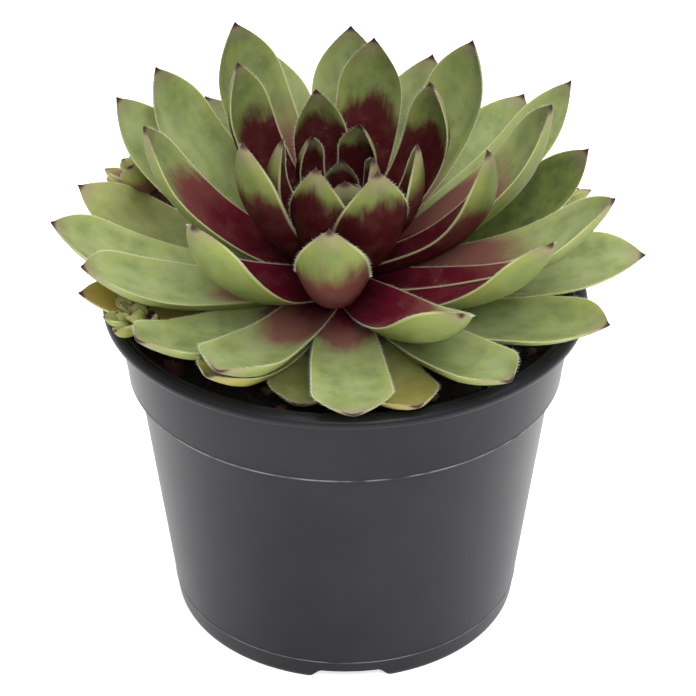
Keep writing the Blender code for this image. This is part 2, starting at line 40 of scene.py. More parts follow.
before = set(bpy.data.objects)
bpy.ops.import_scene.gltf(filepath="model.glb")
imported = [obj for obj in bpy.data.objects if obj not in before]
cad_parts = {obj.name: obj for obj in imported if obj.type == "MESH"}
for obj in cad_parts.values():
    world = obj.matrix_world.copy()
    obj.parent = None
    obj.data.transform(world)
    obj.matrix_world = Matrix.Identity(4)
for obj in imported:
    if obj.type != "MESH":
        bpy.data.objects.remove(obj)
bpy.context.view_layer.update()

MM = 0.001
POT_AXIS = Vector((0.0, 4.5 * MM, 0.0))

# Pot, as in the solid.
RIM_RADIUS = 52.5 * MM
RIM_HEIGHT = 77.0 * MM
COLLAR_TOP = 74.4 * MM
COLLAR_TOP_RADIUS = 49.6 * MM
COLLAR_FOOT_RADIUS = 47.6 * MM
COLLAR_FOOT = 59.0 * MM
BODY_TOP_RADIUS = 45.7 * MM
BASE_RADIUS = 39.0 * MM
WALL = 1.1 * MM
FLOOR_UNDERSIDE = 2.6 * MM
FLOOR_TOP = 3.8 * MM
FOOT_SEAM = 5.0 * MM
DRAIN_HOLE_RADIUS = 3.5 * MM
DRAIN_RING_RADIUS = 26.0 * MM
DRAIN_HOLES = 6
NOTCHES = 3
FIRST_NOTCH_DEG = -88.5
SHARP_EDGE_DEG = 42

# Soil, as in the solid.
SOIL_LEVEL = 68.5 * MM
SOIL_RELIEF = 1.3 * MM
SOIL_RADIUS = 47.0 * MM

# Rosette: leaves follow one another round the stem by the golden angle, oldest lowest.
GOLDEN_ANGLE_DEG = 137.5
AGE_ZERO_AZIMUTH_DEG = -95.0
YOUNGEST = -24
OLDEST = 36
LEAN_DEG = 10.0
LEAN_PIVOT = Vector((-1.0 * MM, 0.0, 76.0 * MM))
STEM_RADIUS = 7.5 * MM
ROOT_INSET = 4.0 * MM
STEM_SIDES = 32

# Section of the stem: (share of its radius, height in mm).
STEM = ((0, 52), (0.7, 52), (1, 56), (1, 74), (0.8, 80), (0.25, 88), (0, 88))

# Growth by age: (age, lift in degrees, length, greatest width, height of the foot; all in mm).
GROWTH = (
    (-24, 86, 9, 3.0, 84.5),
    (-12, 75, 38, 11.0, 81.0),
    (0, 50, 56, 16.0, 79.0),
    (12, 27, 65, 17.0, 77.0),
    (24, 16, 63, 17.0, 75.5),
    (36, 9, 47, 14.0, 74.5),
)

# Leaves that grew a little off the rule: age: (turn in degrees, lift in degrees, longer by mm,
# wider by mm).
ON_THE_RULE = (0, 0, 0, 0)
DEPARTURES = {
    -19: (0, 0, 2, 0),
    -18: (0, 0, 2, 0),
    -14: (0, 0, 0, -2),
    -13: (0, 0, -4, -2),
    -12: (0, 4, -2, -1),
    -11: (0, 0, 0, -3),
    -10: (0, -4, 4, -3),
    -9: (2, 0, -1, 0),
    -8: (8, 2, 0, 1),
    -7: (0, 2, 4, -1),
    -6: (0, 4, 8, -1),
    -5: (-7, 4, 0, 2),
    -4: (0, 0, 2, 0),
    -3: (4, 7, 1, -2),
    -2: (0, -2, -4, -2),
    -1: (0, 0, 5, 1),
    0: (2, 0, 1, -1),
    1: (0, 2, 2, 0),
    2: (0, 0, 0, -2),
    3: (8, -10, 3, -2),
    4: (-8, 0, -2, 0),
    5: (-4, 4, 0, -1),
    6: (2, 4, 0, 2),
    7: (-2, 2, 0, 0),
    8: (12, -3, -1, -2),
    9: (4, -4, -4, 0),
    10: (6, -6, 0, -2),
    11: (6, 4, 4, 0),
    12: (-8, -6, 0, 0),
    13: (-6, -3, -1, -2),
    14: (2, 4, 3, -3),
    15: (-14, 8, -1, 0),
    16: (-2, -5, 0, -3),
    17: (0, -8, -4, 0),
    18: (6, 0, -2, -2),
    19: (-6, -5, 3, 2),
    20: (-12, -2, -4, 0),
    21: (0, 0, 1, -1),
    22: (-2, 0, 2, 0),
    23: (-2, 5, 2, 0),
    24: (4, 1, 3, 0),
    25: (0, -6, -4, 0),
    26: (2, 6, -1, -3),
    27: (6, 6, 4, -1),
    28: (4, -2, 6, 0),
    29: (-6, 3, 0, -1),
    30: (-14, 0, 6, 0),
    31: (-14, 0, 4, -2),
    32: (-16, -6, -12, 0),
    34: (0, 4, 0, 1),
}

# How far a leaf's tip turns up from its foot, in degrees, by age, and the leaves that differ.
CURL = ((-20, 35), (-10, 50), (-2, 62), (5, 66), (10, 58), (16, 48), (24, 40), (36, 25))
OWN_CURL = {-14: 60, -11: 70, -8: 65, -7: 70, -6: 48, -5: 65, -3: 46, -2: 85, 0: 70, 2: 58, 3: 56,
            5: 56, 8: 42, 10: 32, 11: 45, 13: 25, 16: 20, 18: 34, 19: 14, 21: 6, 24: 20, 27: 55}

# Rise of the margins as a share of the width, by age, and the leaves that differ; some are dished
# less at the foot, by this share of the dish at their tip.
CUP = ((-20, 0.28), (0, 0.2), (20, 0.12))
OWN_CUP = {0: 0.3, 2: 0.22, 3: 0.25, 5: 0.25, 8: 0.25, 10: 0.18, 13: 0.2, 16: 0.2}
CUP_AT_FOOT = {2: 0.2, 3: 0.2, 5: 0.2, 8: 0.2}

# Where the blade is widest, as a share of its length, by age, and the leaves that differ.
SHOULDER = ((-10, 0.7), (12, 0.7), (20, 0.74), (36, 0.76))
OWN_SHOULDER = {-9: 0.62, -8: 0.5, -5: 0.55, 0: 0.6, 8: 0.6, 10: 0.76, 13: 0.84, 16: 0.82, 18: 0.8,
                21: 0.84}

# Width of the blade's foot as a share of its greatest, and the leaves that differ.
FOOT_WIDTH = 0.55
OWN_FOOT_WIDTH = {-8: 0.8, -5: 0.9, 0: 0.85}

# Leaves rolled about their middle line, in degrees at the foot and at the tip.
OWN_ROLL = {-11: (-20, -20), -10: (30, 30), -7: (20, 20), -6: (-15, -15), -2: (-12, -12),
            2: (-8, 0), 3: (35, -25), 5: (-25, 5), 6: (-12, -12), 8: (35, -30), 10: (0, -5)}

# Thickness of the blade by age.
THICKNESS = ((-24, 1.4), (-10, 2.6), (10, 3.2))

# Colouring of a leaf by age, and the leaves that differ: share of the blade that is flushed red on
# its upper face and underneath, how far the flush is mauve rather than dark red, how far the green
# has turned to orange, how light the leaf is, where the darker values are painted shade in the heart
# and on leaves lying under others, and how thick its pale bloom is.
FLUSH = ((-24, 0.85), (-12, 0.86), (-9, 0.82), (-4, 0.73), (0, 0.62), (8, 0.46), (14, 0.38),
         (22, 0.42), (36, 0.2))
OWN_FLUSH = {-7: 0.78, -6: 0.75, -1: 0.6, 1: 0.5, 2: 0.74, 3: 0.75, 4: 0.4, 5: 0.75, 6: 0.66,
             7: 0.36, 8: 0.62, 9: 0.3, 11: 0.58, 13: 0.5, 15: 0.3, 16: 0.4, 18: 0.3, 19: 0.15,
             21: 0.44, 24: 0.2}
FLUSH_UNDER = ((-5, 0.86), (-3, 0.78), (-2, 0.76), (3, 0.3), (36, 0.1))
OWN_FLUSH_UNDER = {-1: 0.6, 0: 0.8, 1: 0.5, 2: 0.2, 5: 0.2, 6: 0.4, 11: 0.4}
MAUVE = ((-24, 0.0), (-6, 0.1), (-2, 0.35), (2, 0.4), (8, 0.5), (16, 0.6), (36, 0.9))
OWN_MAUVE = {-11: 0.15, -10: 0.15, -8: 0.05, -5: 0.05, -4: 0.1, -3: 0.12, -2: 0.18, -1: 0.9,
             0: 0.22, 1: 1.0, 2: 0.2, 3: 0.2, 4: 0.9, 5: 0.18, 6: 0.5, 7: 1.0, 8: 0.25, 11: 0.55,
             13: 0.45, 18: 0.4, 21: 0.4}
WARM = ((22, 0.0), (36, 0.15))
OWN_WARM = {26: 0.35, 27: 0.0, 28: 0.1, 29: 0.35, 30: 0.1, 31: 0.7, 34: 0.1}
# Lightness: the darker heart leaves and leaf 27, which lies under others, are painted shade.
SHADE = ((-24, 0.6), (-8, 0.75), (0, 0.92), (8, 1.0), (28, 1.0), (36, 0.9))
OWN_SHADE = {9: 0.9, 20: 0.9, 27: 0.6, 30: 0.85}
BLOOM = ((-24, 0.0), (-8, 0.15), (0, 0.45), (10, 0.65), (26, 0.6), (36, 0.4))
OWN_BLOOM = {20: 0.5, 27: 0.1, 30: 0.4, 31: 0.2}

# Offsets: (stem's place, centre of the leaves, in mm, length of the oldest leaf in mm, number of
# leaves, first azimuth in degrees, share of red flush).
OFFSETS = {
    "offset_front_left": ((-36.0, -20.0), (-41.0, -20.5, 81.0), 11.0, 18, 200, 0.45),
    "offset_back_left": ((-35.0, 22.0), (-43.0, 28.0, 86.0), 17.0, 14, 190, 0.85),
    "offset_back_right": ((37.0, 18.0), (42.5, 23.0, 85.0), 15.0, 14, 60, 0.1),
}
OFFSET_STEM_RADIUS = 2.2 * MM
OFFSET_STEM_FOOT = 60.0 * MM
OFFSET_STEM_SIDES = 20
OFFSET_STEM_BEND = 72.5 * MM

# Rows and points round of the offsets' leaves, and of the coarse leaves that are tried for room.
OFFSET_DETAIL = (18, 16)
TRIAL_DETAIL = (8, 8)

# Camera: the point that it looks at, its distance from there, how steeply it looks down, its lens.
VIEW_CENTRE = Vector((0.6 * MM, 4.5 * MM, 61.5 * MM))
VIEW_DISTANCE = 475.0 * MM
VIEW_ELEVATION_DEG = 31.75
LENS = 111.47
SENSOR = 36.0
NEAREST_SEEN = 0.01

# Stage: half the floor's side, how far it lies under the pot, and the softboxes, all in metres:
# (name, place, size, share of the key power), and the point that they shine at.
FLOOR_HALF = 3.0
FLOOR_DROP = 0.02 * MM
SOFTBOXES = (
    ("overhead_softbox", (0.1, 0.1, 0.95), 0.8, 0.85),
    ("front_softbox", (0.1, -0.7, 0.75), 0.6, 1.15),
)
LIT_POINT = Vector((0.0, 0.0, 0.06))
WHITE = (1.0, 1.0, 1.0, 1.0)


def tint(name, description, default):
    """Colour setting of a property group."""
    return FloatVectorProperty(name=name, description=description, subtype="COLOR", default=default)


class HouseleekLeaves(PropertyGroup):
    rows: IntProperty(name="Rows", description="Sections along each leaf", default=30, min=8, max=60)
    around: IntProperty(name="Points round", description="Points round each section", default=24, min=8,
                        max=48)
    green: tint("Green", "Colour of a blade", (0.215, 0.265, 0.065))
    deep_green: tint("Deep green", "Colour of darker patches", (0.11, 0.16, 0.04))
    # Rim green: painted glow of light shining through the thin margins.
    rim_green: tint("Rim green", "Colour of the blade near its margins", (0.34, 0.37, 0.09))
    bloom: tint("Bloom", "Colour where the waxy bloom is thick", (0.36, 0.4, 0.2))
    underside: tint("Underside", "Colour of the underside", (0.2, 0.235, 0.065))
    margin: tint("Margin", "Colour of the pale edge of a leaf", (0.56, 0.55, 0.3))
    flush: tint("Flush", "Colour of the dark red part of a leaf", (0.058, 0.007, 0.009))
    crimson: tint("Crimson", "Colour of the red on older leaves", (0.13, 0.006, 0.022))
    # Dark foot: painted shade where the feet of the leaves lie deep in the rosette.
    dark_foot: tint("Dark foot", "Colour of the very foot of a leaf", (0.022, 0.002, 0.004))
    mauve: tint("Mauve", "Colour where the red fades into the green", (0.2, 0.085, 0.068))
    smudge: tint("Smudge", "Colour of the fade towards the tip", (0.26, 0.17, 0.15))
    tip: tint("Tip", "Colour of the pointed tip", (0.06, 0.025, 0.028))
    warm: tint("Old leaf", "Colour that the oldest leaves turn to", (0.55, 0.38, 0.06))
    hair_length: FloatProperty(name="Hair length", description="Length of the hairs on the margins",
                               unit="LENGTH", default=0.7 * MM, min=0.1 * MM, max=2 * MM)
    hair_spacing: FloatProperty(name="Hair spacing", description="Distance between hairs on a margin",
                                unit="LENGTH", default=0.5 * MM, min=0.2 * MM, max=3 * MM)


class HouseleekPot(PropertyGroup):
    sides: IntProperty(name="Sides", description="Sides of the turned pot", default=192, min=48, max=360)
    plastic: tint("Plastic", "Colour of the moulded plastic", (0.0095, 0.0097, 0.0126))
    roughness: FloatProperty(name="Roughness", description="Roughness of the plastic", subtype="FACTOR",
                             default=0.36, min=0.05, max=1.0)
    # Wear: strength of the dust, the scuffs and the painted edge highlights.
    wear: FloatProperty(name="Wear", description="Strength of dust, scuffs and pale edges",
                        subtype="FACTOR", default=1.0, min=0.0, max=2.0)


class HouseleekSoil(PropertyGroup):
    peat: tint("Peat", "Colour of the damp soil", (0.018, 0.012, 0.009))
    bark: tint("Bark", "Colour of the bark bits", (0.17, 0.10, 0.045))
    granules: IntProperty(name="Granules", description="Number of loose crumbs", default=420, min=0,
                          max=2000)


class HouseleekStage(PropertyGroup):
    floor: tint("Floor", "Colour of the floor", (0.9, 0.9, 0.9))
    floor_glow: FloatProperty(name="Floor glow", description="Light that the floor gives by itself",
                              default=0.6, min=0.0, max=5.0)
    fill: FloatProperty(name="Fill", description="Strength of the light from behind and the sides",
                        default=0.8, min=0.0, max=5.0)
    front: FloatProperty(name="Front", description="Share of that light that comes from the front",
                         default=0.15, min=0.0, max=1.0)
    key: FloatProperty(name="Key", description="Power of the softboxes", unit="POWER", default=7.2,
                       min=0.0, max=100.0)


def plain(group):
    """A property group's settings by name, with colours as plain tuples."""
    values = {name: getattr(group, name) for name in group.__annotations__}
    return {name: tuple(value) if hasattr(value, "__len__") else value for name, value in values.items()}


def add_object(name, data):
    """New object in the scene."""
    thing = bpy.data.objects.new(name, data)
    bpy.context.scene.collection.objects.link(thing)
    return thing


def new_mesh(name, points, faces):
    """Mesh of points and faces."""
    made = bpy.data.meshes.new(name)
    made.from_pydata(points, [], faces)
    return made


def join(mesh, *others):
    """Adds other meshes to a mesh."""
    whole = bmesh.new()
    for part in (mesh, *others):
        whole.from_mesh(part)
    whole.to_mesh(mesh)
    whole.free()


def by_age(age, steps, own=None, column=1):
    """Value for a leaf's age, between the steps, or the leaf's own value where it differs."""
    if own and age in own:
        return own[age]
    return float(np.interp(age, [step[0] for step in steps], [step[column] for step in steps]))


def place_object(name, mesh, skin, replaced=None):
    """Object for a piece of the plant or pot, moved to the pot's axis and riding on the root."""
    thing = add_object(name, mesh)
    mesh.transform(Matrix.Translation(POT_AXIS))
    mesh.materials.append(skin)
    mesh.shade_smooth()
    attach(thing, "root")
    if replaced:
        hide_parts(replaced)
    return thing


# Shader nodes.

def new_material(name):
    """Material with its node tree and its Principled shader."""
    made = bpy.data.materials.new(name)
    made.use_nodes = True
    return made, made.node_tree, made.node_tree.nodes["Principled BSDF"]


def set_inputs(tree, made, sockets):
    """Gives a node's inputs their values or links outputs to them, by input name or number."""
    for socket, value in sockets.items():
        if isinstance(value, bpy.types.NodeSocket):
            tree.links.new(value, made.inputs[socket])
        else:
            made.inputs[socket].default_value = value


def node(tree, kind, sockets, **settings):
    """Adds a node with its settings and inputs."""
    made = tree.nodes.new(kind)
    for name, value in settings.items():
        setattr(made, name, value)
    set_inputs(tree, made, sockets)
    return made


def calc(tree, operation, *values):
    """Result of one math node."""
    return node(tree, "ShaderNodeMath", dict(enumerate(values)), operation=operation).outputs[0]


def linear(tree, value, slope, start):
    """A value times a slope, plus a start."""
    return calc(tree, "MULTIPLY_ADD", value, slope, start)


def times(tree, first, second):
    """Product of two values."""
    return calc(tree, "MULTIPLY", first, second)


def minus(tree, first, second):
    """Difference of two values."""
    return calc(tree, "SUBTRACT", first, second)


def mix(tree, share, low, high, kind="MIX"):
    """Colour between two colours by a share."""
    low = (*low, 1.0) if isinstance(low, (tuple, list)) and len(low) == 3 else low
    high = (*high, 1.0) if isinstance(high, (tuple, list)) and len(high) == 3 else high
    made = node(tree, "ShaderNodeMix", {0: share, 6: low, 7: high}, data_type="RGBA", blend_type=kind)
    return made.outputs[2]


def ramp(tree, value, start, end, low=0.0, high=1.0):
    """Smooth step of a value from low at start to high at end."""
    sockets = {"Value": value, "From Min": start, "From Max": end, "To Min": low, "To Max": high}
    return node(tree, "ShaderNodeMapRange", sockets, interpolation_type="SMOOTHSTEP").outputs[0]


def grain(tree, place, scale, detail=3.0, rough=0.55, warp=0.0):
    """Noise of a place, from 0 to 1."""
    sockets = {"Vector": place, "Scale": scale, "Detail": detail, "Roughness": rough, "Distortion": warp}
    return node(tree, "ShaderNodeTexNoise", sockets).outputs["Fac"]


def scaled(tree, place, scale, turn=(0.0, 0.0, 0.0)):
    """Place stretched by a scale along each axis, after a turn."""
    sockets = {"Vector": place, "Scale": scale, "Rotation": turn}
    return node(tree, "ShaderNodeMapping", sockets, vector_type="POINT").outputs[0]


def dots(tree, place, scale, radius, share):
    """1 in small round dots: one in some cells of a grid of cells, 0 elsewhere."""
    cells = node(tree, "ShaderNodeTexVoronoi", {"Vector": place, "Scale": scale})
    near = ramp(tree, cells.outputs["Distance"], radius, 0.5 * radius)
    draw = node(tree, "ShaderNodeSeparateColor", {0: cells.outputs["Color"]}).outputs[0]
    chosen = calc(tree, "LESS_THAN", draw, share)
    return times(tree, near, chosen)


def attribute(tree, name):
    """Vector attribute of the mesh."""
    return node(tree, "ShaderNodeAttribute", {}, attribute_name=name).outputs["Vector"]


def parts(tree, vector):
    """The three parts of a vector."""
    return node(tree, "ShaderNodeSeparateXYZ", {0: vector}).outputs


def object_place(tree):
    """Place in the object's own coordinates."""
    return node(tree, "ShaderNodeTexCoord", {}).outputs["Object"]


def stronger(colour, factor):
    """Colour times a factor."""
    return tuple(factor * part for part in colour)


def bump(tree, height, strength, distance):
    """Normal bent by a height."""
    sockets = {"Height": height, "Strength": strength, "Distance": distance}
    return node(tree, "ShaderNodeBump", sockets).outputs[0]


def leaf_skin(look):
    """Waxy skin of a leaf: olive green with bloom, a dark red foot, a pale margin and a dark tip."""
    skin, tree, shader = new_material("waxy_leaf_skin")
    along, across, side = parts(tree, attribute(tree, "leaf_spot"))
    flush_reach, mauve_share, warm_share = parts(tree, attribute(tree, "leaf_tone"))
    gap, shade, to_tip = parts(tree, attribute(tree, "leaf_rim"))
    bloom, size, _ = parts(tree, attribute(tree, "leaf_wax"))
    cells = attribute(tree, "leaf_grain")
    patches = grain(tree, scaled(tree, cells, (1.0, 0.5, 1.0)), 0.22, 3.0)
    streaks = grain(tree, scaled(tree, cells, (1.0, 0.09, 1.0)), 1.1, 3.0, 0.6)
    mottle = grain(tree, cells, 0.24, 3.0, 0.6)
    fine = grain(tree, cells, 1.7, 4.0, 0.65)

    below = ramp(tree, side, 0.05, -0.35)
    green = mix(tree, ramp(tree, mottle, 0.3, 0.7), look["deep_green"], look["green"])
    green = mix(tree, times(tree, below, 0.55), green, look["underside"])
    # Painted light: a yellow-green band near the margins stands in for light shining through the thin
    # edges.
    rim_glow_band = ramp(tree, gap, 2.6, 0.3)
    green = mix(tree, times(tree, rim_glow_band, 0.5), green, look["rim_green"])
    waxed = times(tree, bloom, ramp(tree, patches, 0.3, 0.7, 0.4, 1.0))
    waxed = times(tree, waxed, linear(tree, below, -0.7, 1.0))
    green = mix(tree, waxed, green, look["bloom"])
    green = mix(tree, times(tree, warm_share, ramp(tree, along, 0.2, 0.9)), green, look["warm"])

    # Flush: where a point stands between the foot, 0, and the end of the red, 1.
    wander = linear(tree, minus(tree, patches, 0.5), -0.2, along)
    wander = linear(tree, minus(tree, streaks, 0.5), -0.09, wander)
    wander = calc(tree, "ADD", wander, times(tree, times(tree, across, across), 0.08))
    depth = calc(tree, "DIVIDE", wander, calc(tree, "MAXIMUM", flush_reach, 0.03))
    soft = linear(tree, mauve_share, 0.26, 0.05)
    pale_end = linear(tree, mauve_share, -0.95, 1.0)
    past_end = calc(tree, "DIVIDE", minus(tree, depth, 1.0), soft)
    flushed = ramp(tree, past_end, 1.0, -1.0)
    past_pale = calc(tree, "DIVIDE", minus(tree, depth, pale_end), soft)
    reddened = ramp(tree, past_pale, 1.0, -2.0)
    # Painted shade: the feet of the leaves darken deep in the rosette, where shade falls.
    foot = times(tree, ramp(tree, depth, 0.55, 0.1), reddened)
    red = mix(tree, ramp(tree, bloom, 0.25, 0.8), look["flush"], look["crimson"])
    dusty = times(tree, ramp(tree, mottle, 0.42, 0.68), 0.16)
    red = mix(tree, dusty, red, look["mauve"])
    fading = mix(tree, ramp(tree, mauve_share, 0.0, 0.45), red, look["mauve"])
    colour = mix(tree, flushed, green, fading)
    colour = mix(tree, reddened, colour, red)
    colour = mix(tree, times(tree, foot, 0.92), colour, look["dark_foot"])
    veins = times(tree, ramp(tree, streaks, 0.55, 0.8, 0.0, 0.12), flushed)
    colour = mix(tree, veins, colour, look["mauve"])

    specks = times(tree, dots(tree, cells, 0.7, 0.05, 0.16), flushed)
    colour = mix(tree, specks, colour, (0.7, 0.62, 0.6))
    bent = scaled(tree, cells, (0.25, 1.0, 1.0), (0.0, 0.0, 0.7))
    lines = grain(tree, bent, 0.4, 1.0, 0.4, 0.6)
    line = ramp(tree, calc(tree, "ABSOLUTE", minus(tree, lines, 0.5)), 0.005, 0.001)
    scuffed = times(tree, line, ramp(tree, mottle, 0.56, 0.66))
    colour = mix(tree, times(tree, scuffed, 0.3), colour, look["bloom"])

    # Random tone times the leaf's lightness, which darkens the shaded leaves as painted shade.
    toned = times(tree, linear(tree, fine, 0.16, 0.92), shade)
    grey = node(tree, "ShaderNodeCombineColor", {0: toned, 1: toned, 2: toned}).outputs[0]
    colour = mix(tree, 1.0, colour, grey, "MULTIPLY")

    # Tip and margin: lengths in mm, shorter on small leaves.
    tipward = calc(tree, "DIVIDE", to_tip, size)
    smudge = ramp(tree, linear(tree, streaks, 2.5, tipward), 7.5, 2.2)
    colour = mix(tree, times(tree, smudge, 0.5), colour, look["smudge"])
    edge = times(tree, ramp(tree, gap, 0.32, 0.1), ramp(tree, side, -0.75, -0.3))
    margin_red = mix(tree, 0.35, look["margin"], look["mauve"])
    margin = mix(tree, times(tree, flushed, 0.6), look["margin"], margin_red)
    margin = mix(tree, ramp(tree, tipward, 8.0, 2.5), margin, look["smudge"])
    colour = mix(tree, times(tree, edge, 0.7), colour, margin)
    colour = mix(tree, ramp(tree, tipward, 2.0, 0.8), colour, look["tip"])

    rough = linear(tree, fine, 0.2, 0.4)
    relief = linear(tree, streaks, 0.8, times(tree, fine, 0.5))
    set_inputs(tree, shader, {
        "Base Color": colour,
        "Roughness": minus(tree, rough, times(tree, flushed, 0.06)),
        "Specular IOR Level": linear(tree, flushed, -0.1, 0.12),
        "Subsurface Weight": 0.15,
        "Subsurface Radius": (0.9, 1.0, 0.3),
        "Subsurface Scale": 1.2 * MM,
        "Normal": bump(tree, relief, 0.4, 0.1 * MM),
    })
    return skin


def hair_skin():
    """Pale translucent skin of the margin hairs."""
    skin, tree, shader = new_material("margin_hair")
    place = object_place(tree)
    tone = mix(tree, grain(tree, place, 900.0), (0.62, 0.6, 0.46), (0.85, 0.82, 0.72))
    set_inputs(tree, shader, {
        "Base Color": tone,
        "Roughness": 0.5,
        "Subsurface Weight": 0.3,
        "Subsurface Scale": 0.5 * MM,
    })
    return skin


def pot_skin(look):
    """Satin moulded plastic with faint smears and dust, and pale lines painted along the edge beads as
    highlights.
    """
    skin, tree, shader = new_material("moulded_pot_plastic")
    place = object_place(tree)
    height = parts(tree, place)[2]
    cloud = grain(tree, place, 28.0, 3.0)
    smear = grain(tree, scaled(tree, place, (1.0, 1.0, 0.3), (0.3, 0.2, 0.0)), 60.0, 4.0, 0.6, 0.8)
    fine = grain(tree, place, 700.0, 3.0)
    colour = mix(tree, ramp(tree, cloud, 0.35, 0.7), look["plastic"],
                 tuple(1.25 * part + 0.004 for part in look["plastic"]))
    scuff = times(tree, ramp(tree, smear, 0.62, 0.75), 0.35 * look["wear"])
    colour = mix(tree, scuff, colour, (0.018, 0.018, 0.02))
    dust = dots(tree, place, 190.0, 0.055, 0.06)
    colour = mix(tree, times(tree, dust, 0.8 * look["wear"]), colour, (0.5, 0.5, 0.48))
    # Pale lines along the collar's foot and top and along the foot seam: painted highlights where the
    # edge beads catch the light.
    broken = ramp(tree, grain(tree, place, 160.0, 3.0), 0.3, 0.62)
    for level, width in ((COLLAR_FOOT + 0.25 * MM, 0.22 * MM), (COLLAR_TOP + 0.1 * MM, 0.2 * MM),
                         (FOOT_SEAM, 0.16 * MM)):
        off = calc(tree, "ABSOLUTE", minus(tree, height, level))
        seam = times(tree, ramp(tree, off, width, 0.4 * width), broken)
        colour = mix(tree, times(tree, seam, 0.6 * look["wear"]), colour, (0.3, 0.3, 0.31))
    rough = linear(tree, cloud, 0.12, look["roughness"] - 0.06)
    relief = linear(tree, smear, 0.6, times(tree, fine, 0.15))
    set_inputs(tree, shader, {
        "Base Color": colour,
        "Roughness": calc(tree, "ADD", rough, times(tree, dust, 0.4)),
        "Specular IOR Level": 0.17,
        "Normal": bump(tree, relief, 0.35, 0.1 * MM),
    })
    return skin


def crumb_skin(name, low, high, scale, roughness):
    """Crumbly or fibrous skin of soil, bark and straw, between two colours."""
    skin, tree, shader = new_material(name)
    place = object_place(tree)
    coarse = grain(tree, place, scale, 5.0, 0.65)
    fine = grain(tree, place, 4.0 * scale, 4.0, 0.7)
    colour = mix(tree, ramp(tree, coarse, 0.35, 0.7), low, high)
    colour = mix(tree, ramp(tree, fine, 0.6, 0.8, 0.0, 0.5), colour, stronger(high, 2.2))
    set_inputs(tree, shader, {
        "Base Color": colour,
        "Roughness": roughness,
        "Specular IOR Level": 0.3,
        "Normal": bump(tree, fine, 0.8, 0.4 * MM),
    })
    return skin


# Leaves.

def blade_width(along, shoulder, foot_width):
    """Width of the blade as a share of its greatest, drawn in to a fine point at the tip."""
    rise = np.clip(along / shoulder, 0, 1)
    fall = np.clip((along - shoulder) / (1 - shoulder), 0, 1)
    grown = foot_width + (1 - foot_width) * np.sin(rise * math.pi / 2) ** 1.3
    drawn = (1 - fall ** 2.8) * (1 - 0.25 * fall ** 4)
    point = 1 - 0.5 * np.exp(-((1 - along) / 0.02) ** 2)
    return np.where(along < shoulder, grown, drawn) * point


def blade_thickness(along):
    """Thickness of the blade as a share of its greatest."""
    swell = 0.65 + 0.35 * np.sin(math.pi * np.minimum(along / 0.9, 1.0))
    return swell * np.minimum(1.0, ((1 - along) / 0.28) ** 0.6 + 0.05)


def middle_line(blade, curl, steps=200):
    """Places, slopes and shares of a leaf's middle line, which bends up more towards its tip."""
    shares = np.linspace(0, 1, steps + 1)
    slopes = curl * shares ** 2
    half = (slopes[1:] + slopes[:-1]) / 2
    x = np.concatenate([[0], np.cumsum(np.cos(half))])
    z = np.concatenate([[0], np.cumsum(np.sin(half))])
    chord = math.atan2(z[-1], x[-1])
    size = blade / math.hypot(x[-1], z[-1])
    level_x = size * (math.cos(chord) * x + math.sin(chord) * z)
    level_z = size * (math.cos(chord) * z - math.sin(chord) * x)
    return shares, level_x, level_z, slopes - chord


# Names of the values that a leaf's skin reads: place on the blade; reach of the red, share of mauve
# and of warm; distance to the margin, lightness with painted shade and distance to the tip; bloom
# and size; grain.
LEAF_VALUES = ("leaf_spot", "leaf_tone", "leaf_rim", "leaf_wax", "leaf_grain")

# Rows of a blade's mesh crowd together towards its tip by this power.
TIP_CROWDING = 1.5

# Sideways waves of a margin and ripples of its height, as shares of the width.
SWAY = 0.02
RIPPLE = 0.018

# Shorter blades than these have a smaller dark tip, and shorter hairs.
FULL_MARK_BLADE = 30 * MM
FULL_HAIR_BLADE = 35 * MM


